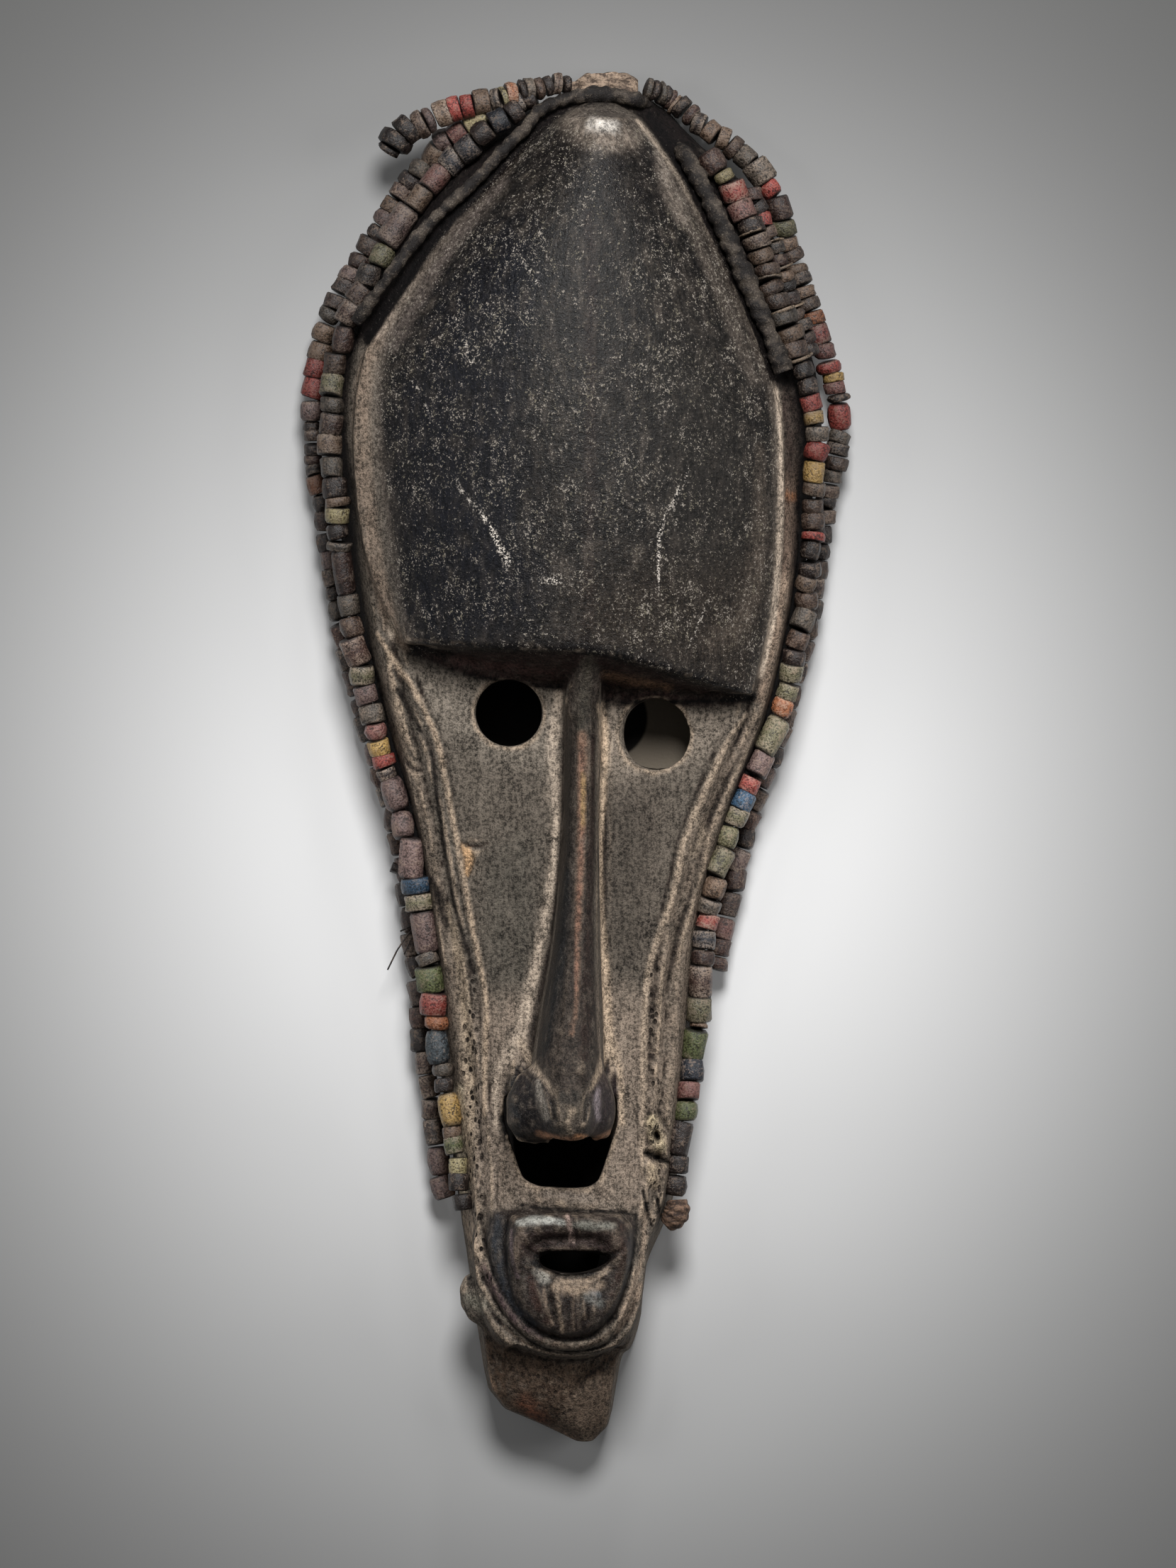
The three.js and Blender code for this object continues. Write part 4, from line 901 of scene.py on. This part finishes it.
def tube_along(shape, route, radius_at, sides=12, spacing=0.8 * MM):
    """Adds a closed tube to a shape. radius_at gives the radius at a length and an angle."""
    steps = max(3, int(route.length / spacing))
    rings = []
    for step in range(steps + 1):
        along = route.length * step / steps
        direction = route.ahead(along)
        across = direction.cross(Vector((0, 0, 1))).normalized()
        up = across.cross(direction)
        ring = []
        for side in range(sides):
            angle = 2 * math.pi * side / sides
            spoke = (across * math.cos(angle) + up * math.sin(angle)) * radius_at(along, angle)
            ring.append(shape.verts.new(route.at(along) + spoke))
        rings.append(ring)
    for ring, following in zip(rings, rings[1:]):
        for side in range(sides):
            shape.faces.new((ring[side], ring[side - 1], following[side - 1], following[side]))
    shape.faces.new(rings[0])
    shape.faces.new(rings[-1][::-1])


def finish_piece(name, shape, node, material):
    """Makes a piece of a shape, with its faces turned outwards, in place of a node's plain solid."""
    bmesh.ops.recalc_face_normals(shape, faces=shape.faces)
    mesh = bpy.data.meshes.new(name)
    shape.to_mesh(mesh)
    shape.free()
    mesh.polygons.foreach_set("use_smooth", [True] * len(mesh.polygons))
    mesh.materials.append(material)
    piece = piece_from(name, mesh)
    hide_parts(node)
    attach(piece, "root")


def dipped(point):
    """How far a place on the cord is tucked away under the beads beside the crown, from 0 to 1."""
    return float(eased(point.x / MM, 22, 28) * eased(-point.x / MM, -40.5, -37) * (point.y > 0.2))


def cord_radius(along, angle):
    """The cord's radius: its two strands, its lumps, and where it is thinner or pressed flat."""
    strands = abs(math.cos(angle - 2 * math.pi * along / MM / CORD_TWIST))
    lumps = noise.noise((along / MM * 0.09, 0, 0)) * 0.35
    lumps += noise.noise((along / MM * 0.5, math.cos(angle), 7)) * 0.2
    place = cord_route.at(along)
    thin = float(eased(-place.x / MM, -6, 10))
    tuck = 1 - 0.45 * dipped(place) - 0.2 * thin + 0.22 * float(eased(place.x / MM, 34, 44))
    return CORD_RADIUS * MM * (0.86 + 0.22 * strands + lumps) * tuck


def dark_cord():
    finish = Finish("dark_cord")
    grit = finish.grain(finish.mm, 1.4, 3, 0.7)
    smears = finish.grain(finish.mm, 0.16, 3, 0.6)
    cord = finish.blend(smears.over(0.42, 0.62), screen(22, 17, 15), screen(64, 56, 49))
    cord = finish.blend((grit * 0.7 + smears * 0.3).over(0.52, 0.66) * 0.7, cord, screen(118, 108, 96))
    return finish.surface(cord, (0.5 + grit * 0.3).at_most(0.95), grit, 0.5)


# It dips under the beads beside the crown, and is drawn in a little at the left and at the top.
DIP = 13
cord_points = middle_line("forehead_cord")
for point in cord_points:
    point.z -= DIP * MM * dipped(point)
    point.x -= 2 * MM * float(eased(-point.x / MM, 36, 55))
    point.y -= 2 * MM * float(eased(point.y / MM, 236, 240))
cord_route = Route(cord_points)
cord_shape = bmesh.new()
tube_along(cord_shape, cord_route, cord_radius)
finish_piece("forehead_cord_twist", cord_shape, "forehead_cord", dark_cord())


# The hide strip. A scrap of tanned hide, dry and creased with age, is folded over the end of the
# crown and held there by the strings that are bound across it.
HIDE_WRINKLES = 1.6


def weathered_hide(name, dark, light):
    finish = Finish(name)
    creases = finish.grain(finish.stretched(0.5, 1.2, 1), 0.5, 4, 0.65)
    grit = finish.grain(finish.mm, 1.2, 3, 0.7)
    hide = finish.blend((creases * 0.6 + grit * 0.4).over(0.4, 0.62), dark, light)
    return finish.surface(hide, (0.55 + grit * 0.4).at_most(0.95), creases + grit * 0.4, 0.7)


hide_finish = weathered_hide("worn_hide", screen(70, 57, 48), screen(168, 146, 126))
hide = joined_copy("crown_hide_strip")
bmesh.ops.subdivide_edges(hide, edges=hide.edges, cuts=3, use_grid_fill=True)
for vert in hide.verts:
    place = vert.co / MM
    wrinkle = Vector((0, noise.noise(place * 0.22), noise.noise(place * 0.22 + Vector((9, 0, 0)))))
    vert.co += HIDE_WRINKLES * MM * wrinkle
    vert.co.y -= 2.4 * MM * min(1, abs(place.x - 12) / 12) ** 4
finish_piece("crown_hide", hide, "crown_hide_strip", hide_finish)


# The strings of beads. Old trade beads and beads of fired clay lie on hard thread, bound down the
# outside of the rim. No two are alike: drums, discs and barrels, chipped and dusty, threaded tight.
BEAD_COLOURS = {
    "mud": screen(98, 78, 66), "plum": screen(80, 58, 51), "soot": screen(50, 39, 35),
    "tan": screen(134, 110, 91), "brick": screen(176, 80, 71), "rose": screen(146, 100, 93),
    "olive": screen(120, 116, 88), "green": screen(112, 120, 78), "mustard": screen(224, 184, 112),
    "cream": screen(186, 173, 130), "slate": screen(74, 84, 90), "blue": screen(62, 92, 118),
    "grey": screen(102, 93, 83), "orange": screen(166, 106, 72), "mauve": screen(126, 104, 99),
    "ink": screen(40, 46, 56), "leather": screen(30, 19, 16), "straw": screen(184, 160, 134),
}
# The beads in their order from the crown down, each by its colour and its length in millimetres,
# which are then fitted to the string. A third number is the radius of a bead that isn't of its
# string's usual one.
LEFT_OUTER_BEADS = """
soot 5 4.4, ink 6 4.6, soot 6 4.8, cream 9 5.6, rose 6.4 4.8, mauve 5.4 4.7, tan 7.4 4.6, grey 6.5 4.7,
soot 5 4.5, plum 5 4.7, tan 5 4.5, mauve 6 4.7, soot 5 4.5, mud 6 4.7, plum 5.5 4.5, mauve 5 4.7,
plum 5.5 4.5, plum 5 4.7, grey 5 4.5, tan 6.5 4.6, tan 6.5 4.5, brick 6.6 4.6, brick 7.2 4.5, mauve 7 4.4,
soot 3.6 3.4, plum 4 3.4, soot 3.6 3.4, plum 4 3.6, soot 3.6 3.4, orange 6.6, soot 6, plum 7, soot 6,
mauve 7, mud 6, soot 5, grey 7, plum 9, soot 8, plum 9, plum 7, soot 9, mauve 8, plum 8, soot 7, plum 9,
mud 8, plum 9, soot 8, plum 9, mud 8, soot 8, plum 9, plum 8, soot 8, plum 8, mud 8, plum 7, soot 9,
mauve 10, mauve 8
"""
LEFT_INNER_BEADS = """
soot 5 4.4, ink 6 4.6, soot 6.5 4.8, ink 7 5, ink 7, rose 9, tan 8, mauve 14, olive 7.4, soot 7, plum 7,
plum 8, plum 9, mud 7, olive 7.2, grey 5.3, plum 7.2, tan 7, grey 6.6, soot 6.6, tan 3.3, cream 5.3,
soot 5.3, grey 3, plum 14.5 3.9, grey 7, mud 7, plum 9.5, olive 6.3, mauve 6.3, grey 6.4, rose 5.3,
mustard 5.3, brick 4.2, soot 3.7 3.6, mauve 11, mauve 9, mauve 13.2, blue 5.3 5.8, olive 5.6 5.9,
mauve 13.6 4.8, grey 4.5, green 8.3 5.4, brick 7.6 5.4, orange 4.5, slate 11.3 4.7, grey 4.5 4.2,
soot 4.5 3.8, mustard 11.3 4.2, tan 3.8 3.6, green 6 3.6, cream 6 3.6, soot 5.8 3.8, soot 5.3 3.8
"""
RIGHT_OUTER_BEADS = """
grey 2.4 4.2, soot 2.6 4.5, grey 2.4 4.5, soot 3, plum 3, tan 1.6 4.8, soot 4, plum 4, soot 5, tan 5.4,
tan 4.6, mud 4.5, grey 7, grey 9.3 5.2, brick 6.2, plum 8.5 4.8, olive 6.2, tan 5, mud 5, tan 4.6, soot 4.6,
tan 4.6, mud 4.6, orange 5, brick 7.7, rose 6, brick 4.8, mustard 3.6, rose 4.8, soot 3, brick 10 4.3,
grey 5, soot 4.6, mud 5, grey 5.2, mud 5, soot 5, mud 5.4, soot 6.6, soot 6, mud 7, plum 8, soot 7, mud 8,
plum 8, soot 8, plum 9, mud 7, plum 8, soot 8, plum 8, mud 8, plum 7, soot 8, mauve 9, plum 8, plum 9,
rose 8, plum 6.5, plum 5
"""
RIGHT_INNER_BEADS = """
plum 8 5, cream 4 4, brick 6.8 4.8, rose 6.4 5.2, soot 5 5, straw 1.2 5.6, mud 4.6 5.2, tan 4.6 5.4,
mud 4.6 5.2, straw 1.2 5.6, mud 5 5.4, mud 5 5.2, straw 1.2 5.6, grey 5 5.4, tan 5 5.2, mud 5.6 5.3,
straw 1.2 5.5, soot 5.4, soot 6, brick 5.3, mustard 4.6, grey 5, brick 6.6, mustard 7.2, tan 4.6, mud 5,
mud 6, brick 3, soot 6.6, soot 5, tan 5, mud 6, grey 7, mud 6, soot 5, olive 6, olive 5.4, orange 6.3,
olive 12.5 4.6, mauve 8, brick 5.3, blue 6.3, olive 6.3, olive 7.4, olive 9.5, tan 7.4, grey 5, brick 5.3,
ink 6, plum 5.3, plum 10.6, olive 8.3 4.9, tan 2 3.6, green 9.8 4.9, ink 7.3 4.7, rose 6, green 6.8,
soot 11.4, soot 6, soot 6.8
"""
RIGHT_MIDDLE_BEADS = """
plum 5, soot 5, brick 6, mud 5, straw 1.2 4.6, soot 4.6, plum 5, straw 1.2 4.6, tan 4.6, soot 5, plum 5,
straw 1.2 4.6, mud 5, soot 5, plum 4.6, soot 5
"""
CROWN_BEADS = """
soot 4 3.8, mud 4 4.1, soot 4 4, mud 4 4.3, grey 4 4.4, soot 3.5 4.5, orange 5 4.6, cream 2.6 4.7,
soot 4 4.7, tan 7 4.9, brick 5.4 4.8, brick 5 4.8, tan 7 5, mauve 4 5, mud 5 5.2, leather 6.5 5.8,
leather 6.5 6.2, leather 3 4.4
"""
# Where the strings at the left of the crown run, in millimetres, out over one another.
CROWN_ROUTE = [
    (-1, 245, 16), (-8, 244.2, 18), (-16, 242.5, 20), (-24, 240.4, 22), (-34, 237.6, 23), (-44, 235, 23),
    (-52, 232.4, 22.6), (-59, 229, 22), (-64.6, 224.4, 21), (-68, 219.4, 20.4),
]
LEFT_OUTER_TOP = [
    (-14, 240.8, 20), (-21, 238.2, 20), (-29, 234.6, 19.4), (-37, 230.2, 18), (-43.4, 226.4, 16),
    (-49.4, 222, 13.4),
]
LEFT_OUTER_TOP_REPLACES = 6  # points of the solid's own middle line
LEFT_INNER_TOP = [(-20, 235.4, 25), (-26, 231.4, 26), (-32.4, 226.8, 26.4), (-38.8, 221.8, 25.4)]
# Where the two strings at the right start, before the middle lines of their solids.
RIGHT_OUTER_TOP = [(25.5, 243.6, 12), (30.5, 241.8, 11)]
RIGHT_INNER_TOP = [(47.4, 219.6, 24.4)]
# How bright the beads are by their height on the mask, from soot and painted shade: sooty and in painted
# shade beside the forehead, rubbed and painted brighter at the cheeks.
CLEAN_AND_LIT_BY_HEIGHT = [
    (-170, 0.7), (-100, 0.9), (-80, 0.74), (-50, 0.86), (-20, 1.15), (38, 1.1), (62, 0.6), (100, 0.5),
    (180, 0.46), (200, 0.6), (250, 0.66),
]
# How far the inner strings lie in over the shoulder of the wood, by height on the mask, and how far
# they rise for each millimetre of that.
LEFT_LEAN = [(-160, 3.2), (-95, 2.4), (-45, 2.4), (-20, 0)]
RIGHT_LEAN = [(-160, 2), (-135, 2), (-115, 1), (-90, 0), (-70, 2), (-50, 3.4), (-20, 2), (10, 0)]
LEAN_RISE = 0.9
# The knot of the outer left string, which stands out at the cheek, and the stiff ends of its thread.
LOOSE_THREADS = [
    ([(-59, -42, 12), (-63, -41, 13), (-66.6, -39.6, 13.4)], 1.9),
    ([(-56, -60, 13), (-60.6, -64, 15), (-64.6, -70, 15), (-68, -77, 14)], 0.3),
    ([(-56, -59, 14), (-60, -61.4, 15), (-63.4, -63, 15)], 0.3),
    ([(-56, -61, 14), (-59.6, -66, 16), (-62, -71.4, 16)], 0.25),
]
BEAD_GAP = 0.2
BEAD_SIDES = 10
BEAD_TILT = 0.12  # how far a bead leans off its thread's direction
BEAD_PLAY = 0.6  # how far a bead sits off its thread
# Share of the way along a bead and share of its full radius, from one end's hole to the other's.
BEAD_SHAPES = {
    "drum": [(0.0, 0.4), (0.0, 0.86), (0.1, 0.98), (0.5, 1.0), (0.9, 0.98), (1.0, 0.86), (1.0, 0.4)],
    "barrel": [(0.0, 0.4), (0.02, 0.76), (0.18, 0.94), (0.5, 1.0), (0.82, 0.94), (0.98, 0.76), (1.0, 0.4)],
}


def bead_template(shape):
    """A bead of unit length and radius along Z, turned about its hole."""
    bead = bmesh.new()
    profile = [bead.verts.new((radius, 0, along)) for along, radius in BEAD_SHAPES[shape]]
    for a, b in zip(profile, profile[1:]):
        bead.edges.new((a, b))
    bmesh.ops.spin(
        bead, geom=bead.verts[:] + bead.edges[:], cent=(0, 0, 0), axis=(0, 0, 1), angle=2 * math.pi,
        steps=BEAD_SIDES, use_merge=True,
    )
    bmesh.ops.remove_doubles(bead, verts=bead.verts, dist=1e-5)
    bmesh.ops.holes_fill(bead, edges=[edge for edge in bead.edges if edge.is_boundary])
    mesh = bpy.data.meshes.new(shape)
    bead.to_mesh(mesh)
    bead.free()
    return mesh


bead_templates = {shape: bead_template(shape) for shape in BEAD_SHAPES}


def values_layer(layers, name):
    """The layer of that name, made where it isn't there yet."""
    return layers.get(name) or layers.new(name)


def thread_beads(string, route, text, usual_radius, chance):
    """Adds one row of beads to a string's shape, threaded along a route and tight from end to end."""
    tint = values_layer(string.verts.layers.float_color, "tint")
    ends = values_layer(string.verts.layers.float, "ends")
    rims = values_layer(string.verts.layers.float, "rims")
    clean_and_lit = values_layer(string.verts.layers.float, "clean_and_lit")
    beads = [entry.split() for entry in text.split(",")]
    fit = route.length / sum(float(words[1]) * MM for words in beads)
    along = 0.0
    for words in beads:
        # Where the bead lies: a little off the thread, and turned about its hole.
        length = float(words[1]) * fit * MM
        radius = (float(words[2]) if len(words) > 2 else usual_radius * chance.uniform(0.9, 1.06)) * MM
        tilt = Vector([chance.gauss(0, BEAD_TILT) for _ in range(3)])
        direction = (route.ahead(along + length / 2) + tilt).normalized()
        play = Vector([chance.uniform(-BEAD_PLAY, BEAD_PLAY) for _ in range(3)]) * MM
        place = Matrix.Translation(route.at(along + length / 2) + play)
        place @= direction.to_track_quat("Z", "Y").to_matrix().to_4x4()
        place @= Matrix.Rotation(chance.uniform(0, 6.28), 4, "Z")

        # Its own uneven form, its soot and painted shade, and how chipped it is.
        start = len(string.verts)
        string.from_mesh(bead_templates[chance.choice(("drum", "drum", "barrel"))])
        string.verts.ensure_lookup_table()
        body = max(length - BEAD_GAP * MM, 0.6 * length)
        height = route.at(along).y / MM
        clean_and_lit_level = chance.uniform(0.72, 1.28) * float(np.interp(height, *zip(*CLEAN_AND_LIT_BY_HEIGHT)))
        shift = Vector([chance.uniform(0, 50) for _ in range(3)])
        squash = chance.uniform(0.9, 1.0)
        skew = chance.uniform(-0.16, 0.16)
        pale_rim = 0 if words[0] == "leather" else chance.choice((0, 0, 0.5, 1))
        for vert in string.verts[start:]:
            local = vert.co.copy()
            edge = abs(2 * local.z - 1)
            vert[ends] = 1.0 if local.xy.length < 0.6 else edge**6 * 0.85
            vert[rims] = pale_rim if 0.6 < local.xy.length and 0.75 < edge else 0.0
            vert[tint] = (*BEAD_COLOURS[words[0]], 1)
            vert[clean_and_lit] = clean_and_lit_level
            bulge = 1 + 0.12 * noise.noise(local * 1.7 + shift) + 0.1 * noise.noise(local * 5 + shift)
            x, y = local.x * radius * bulge, local.y * radius * bulge * squash
            local = Vector((x, y, (local.z - 0.5) * body))
            local.z += skew * local.x * (1 if local.z > 0 else 0.4)
            vert.co = place @ local
        along += length


def old_beads():
    finish = Finish("old_beads")
    tint = finish.attribute("tint", "Color")
    ends, rims = finish.attribute("ends"), finish.attribute("rims")
    speckle = finish.grain(finish.mm, 1.3, 3, 0.7)
    smear = finish.grain(finish.mm, 0.3, 3, 0.6)
    shaded = finish.blend(1.0, tint, (0.45, 0.42, 0.41), "MULTIPLY")
    body = finish.blend(speckle.over(0.36, 0.6), shaded, tint)

    # Dust lies on them in smears and soot in between. Their ends are chipped pale, and round their holes and
    # at their ends they are painted near black, as the shade where one bead meets the next.
    dust = (smear * 0.5 + speckle * 0.5).over(0.51, 0.62)
    body = finish.blend(dust * 0.6, body, screen(148, 128, 112))
    body = finish.blend((1 - (smear * 0.5 + speckle * 0.5).over(0.4, 0.5)) * 0.7, body, screen(32, 24, 21))
    body = finish.blend(rims * speckle.over(0.4, 0.55) * 0.7, body, screen(168, 150, 134))
    body = finish.blend((ends + (speckle - 0.5) * 0.6).over(0.35, 0.9) * 0.9, body, screen(24, 19, 18))
    inputs = {0: body, "Scale": finish.attribute("clean_and_lit")}
    body = finish.node("ShaderNodeVectorMath", {"operation": "SCALE"}, inputs)
    rough = 0.42 + dust * 0.35 + (speckle - 0.5) * 0.4
    return finish.surface(body, rough.at_least(0.25), speckle * 0.5 + smear * 0.7, 0.8, 0.5)


def in_metres(points):
    return [Vector(point) * MM for point in points]


def leaning(points, lean_by_height, side):
    """A string's points after they are set in over the wood's shoulder. The side is 1 left and -1 right."""
    for point in points:
        lean = float(np.interp(point.y / MM, *zip(*lean_by_height)))
        point += Vector((side * lean, 0, LEAN_RISE * lean)) * MM
    return points


def bulging(points):
    """The right outer string's points after they are pushed out beside the crown by the strings within."""
    for point in points:
        share = float(eased(point.y / MM, 186, 204) * (1 - eased(point.y / MM, 226, 236)))
        point += Vector((2, 1.6, 0)) * MM * share
    return points


def add_caught_loop(string, chance):
    """Adds the loop of the right outer string that is caught between the two rows beside the forehead."""
    outer = Route(middle_line("right_outer_bead_string"))
    inner = Route(middle_line("right_inner_bead_string"))
    loop = []
    for y in range(206, 142, -4):
        between = outer.at_height(y * MM).lerp(inner.at_height(y * MM), 0.5)
        loop.append(between + Vector((0, 0, 2.4 * MM)))
    thread_beads(string, Route(loop), RIGHT_MIDDLE_BEADS, 4.0, chance)


def add_loose_threads(string):
    """Adds the knot of the left outer string and the ends of its thread."""
    tint, clean_and_lit = string.verts.layers.float_color["tint"], string.verts.layers.float["clean_and_lit"]
    for thread, radius in LOOSE_THREADS:
        start = len(string.verts)
        tube_along(string, Route(in_metres(thread)), lambda along, angle: radius * MM, sides=6)
        string.verts.ensure_lookup_table()
        for vert in string.verts[start:]:
            vert[tint] = (*BEAD_COLOURS["soot"], 1)
            vert[clean_and_lit] = 0.5


left_outer = in_metres(LEFT_OUTER_TOP) + middle_line("left_outer_bead_string")[LEFT_OUTER_TOP_REPLACES:]
left_inner = leaning(in_metres(LEFT_INNER_TOP) + middle_line("left_inner_bead_string"), LEFT_LEAN, 1)
right_outer = bulging(in_metres(RIGHT_OUTER_TOP) + middle_line("right_outer_bead_string"))
right_inner = leaning(in_metres(RIGHT_INNER_TOP) + middle_line("right_inner_bead_string"), RIGHT_LEAN, -1)
crown = in_metres(CROWN_ROUTE)
bead_finish = old_beads()
for name, node, points, text, usual_radius, seed in (
    ("left_outer_beads", "left_outer_bead_string", left_outer, LEFT_OUTER_BEADS, 4.0, 3),
    ("left_inner_beads", "left_inner_bead_string", left_inner, LEFT_INNER_BEADS, 4.6, 5),
    ("right_outer_beads", "right_outer_bead_string", right_outer, RIGHT_OUTER_BEADS, 4.5, 7),
    ("right_inner_beads", "right_inner_bead_string", right_inner, RIGHT_INNER_BEADS, 4.4, 11),
    ("crown_beads", "crown_bead_string", crown, CROWN_BEADS, 4.6, 13),
):
    string = bmesh.new()
    chance = random.Random(seed)
    thread_beads(string, Route(points), text, usual_radius, chance)
    if node == "right_outer_bead_string":
        add_caught_loop(string, chance)
    if node == "left_outer_bead_string":
        add_loose_threads(string)
    finish_piece(name, string, node, bead_finish)


# The wrap. A thong of reddish leather closes the lower end of the right inner string, wound round it
# a few times and tucked in.
WRAP_RADIUS = 4.9  # at the middle, from which it tapers to both ends
WRAP_TURN = 2.6  # width of the thong


def wrap_radius(along, angle):
    share = along / wrap_route.length
    turns = abs(math.sin(math.pi * (along / MM / WRAP_TURN + angle / (2 * math.pi))))
    taper = math.sin(math.pi * (0.14 + 0.78 * share)) ** 0.4
    return WRAP_RADIUS * taper * MM * (0.9 + 0.1 * turns)


wrap_route = Route(middle_line("right_string_end_wrap"))
wrap_shape = bmesh.new()
tube_along(wrap_shape, wrap_route, wrap_radius, spacing=0.4 * MM)
thong_finish = weathered_hide("leather_thong", screen(50, 37, 31), screen(126, 100, 82))
finish_piece("leather_wrap", wrap_shape, "right_string_end_wrap", thong_finish)


# The studio: a pale floor whose colour holds a painted pool of light, falling off into painted shade at its
# edges; a soft key light beyond the crown and weak fills from the sides.
GLOW_WIDTH = 141.5  # distance to each side at which the floor has lost two fifths of its brightness
GLOW_HEIGHT = 149


def floor_finish():
    finish = Finish("studio_floor")
    centred = finish.node("ShaderNodeMapping", {}, {"Vector": finish.mm, "Location": (0, 27.5, 0)})
    inputs = {0: centred, 1: (1 / GLOW_WIDTH, 1 / GLOW_HEIGHT, 0)}
    spread = finish.node("ShaderNodeVectorMath", {"operation": "MULTIPLY"}, inputs)
    away = finish.node("ShaderNodeVectorMath", {"operation": "LENGTH"}, {0: spread}, "Value")
    glow = finish.node("ShaderNodeMath", {"operation": "EXPONENT"}, {0: away * away * -0.5})
    pale = finish.blend(glow, (0.09, 0.09, 0.088), (0.95, 0.95, 0.95))
    shader = finish.node("ShaderNodeBsdfDiffuse", {}, {"Color": pale})
    finish.node("ShaderNodeOutputMaterial", {}, {"Surface": shader}, None)
    return finish.material


floor_shape = bmesh.new()
bmesh.ops.create_grid(floor_shape, x_segments=1, y_segments=1, size=3)
bmesh.ops.translate(floor_shape, verts=floor_shape.verts, vec=(0, 0, -0.0002))
floor_mesh = bpy.data.meshes.new("studio_floor")
floor_shape.to_mesh(floor_mesh)
floor_shape.free()
floor = piece_from("studio_floor", floor_mesh)
floor_mesh.materials.append(floor_finish())


# A dark felt pad lies inside the hollow as painted shade, so that the eye holes look black. Over it a warm
# grey disc is raised behind the right eye, where the photograph shows such a patch through the hole.
PAD_OUTLINE = [
    (-44, 60), (-10, 66), (30, 60), (42, 40), (42, 18), (40, 0), (34, -20), (24, -60), (18, -110), (13, -160),
    (4, -196), (-10, -198), (-20, -160), (-24, -110), (-29, -60), (-38, -10), (-46, 30),
]
PAD_HEIGHT = 1.5
DISC_PLACE = (30, 12, 18)
DISC_RADIUS = 16
pad_shape = bmesh.new()
pad_edge = smooth_line([(*corner, 0) for corner in PAD_OUTLINE + PAD_OUTLINE[:1]], 4.0)[:-1]
pad_shape.faces.new([pad_shape.verts.new((x * MM, y * MM, PAD_HEIGHT * MM)) for x, y, _ in pad_edge])
bmesh.ops.create_circle(
    pad_shape, cap_ends=True, segments=32, radius=DISC_RADIUS * MM,
    matrix=Matrix.Translation(Vector(DISC_PLACE) * MM),
)
pad_mesh = bpy.data.meshes.new("shade_pad")
pad_shape.to_mesh(pad_mesh)
pad_shape.free()
pad = piece_from("shade_pad", pad_mesh)


def shade_pad_finish():
    """Near-black felt that stands in for shade, turned a faded warm grey to the right of a round painted
    shade that crosses the eye hole.
    """
    finish = Finish("shade_felt")
    nap = finish.grain(finish.mm, 1.0)
    level = finish.node("ShaderNodeVectorMath", {"operation": "MULTIPLY"}, {0: finish.mm, 1: (1, 1, 0)})
    centred = finish.node("ShaderNodeVectorMath", {"operation": "SUBTRACT"}, {0: level, 1: (11.5, 14.5, 0)})
    from_shade = finish.node("ShaderNodeVectorMath", {"operation": "LENGTH"}, {0: centred}, "Value")
    right_half = finish.node("ShaderNodeSeparateXYZ", {}, {"Vector": centred}, "X").over(1, 3)
    shade_felt = finish.blend(nap, screen(12, 10, 9), screen(26, 21, 19))
    felt = finish.blend(from_shade.over(14.2, 15.6) * right_half, shade_felt, screen(140, 129, 114))
    return finish.surface(felt, 0.9, nap, 0.2)


pad_mesh.materials.append(shade_pad_finish())


def soft_light(name, place, size, power):
    """A round lamp that faces the mask."""
    lamp = bpy.data.lights.new(name, "AREA")
    lamp.shape = "DISK"
    lamp.size = size
    lamp.energy = power
    light = bpy.data.objects.new(name, lamp)
    light.location = place
    light.rotation_euler = Vector(place).to_track_quat("Z", "Y").to_euler()
    bpy.context.scene.collection.objects.link(light)


soft_light("key_light", (0.15, 1.5, 2.2), 0.9, 70)
soft_light("left_fill", (-2.0, 0.3, 1.6), 1.2, 12)
soft_light("right_fill", (2.0, 0.3, 1.3), 1.2, 14)
soft_light("crown_lamp", (0.25, 2.4, 0.95), 0.3, 10)
world = bpy.data.worlds.new("studio")
world.use_nodes = True
world.node_tree.nodes["Background"].inputs["Color"].default_value = (0.8, 0.8, 0.8, 1)
world.node_tree.nodes["Background"].inputs["Strength"].default_value = 0.12
bpy.context.scene.world = world
bpy.context.scene.view_settings.view_transform = "Standard"

# The camera hangs straight over the mask, 12 m up and with a lens to match, because the photograph
# shows next to no perspective.
camera_data = bpy.data.cameras.new("camera")
camera_data.lens = 757.5
camera_data.sensor_width = 36
camera = bpy.data.objects.new("camera", camera_data)
camera.location = (0.0048, -0.0095, 12.0)
bpy.context.scene.collection.objects.link(camera)
bpy.context.scene.camera = camera
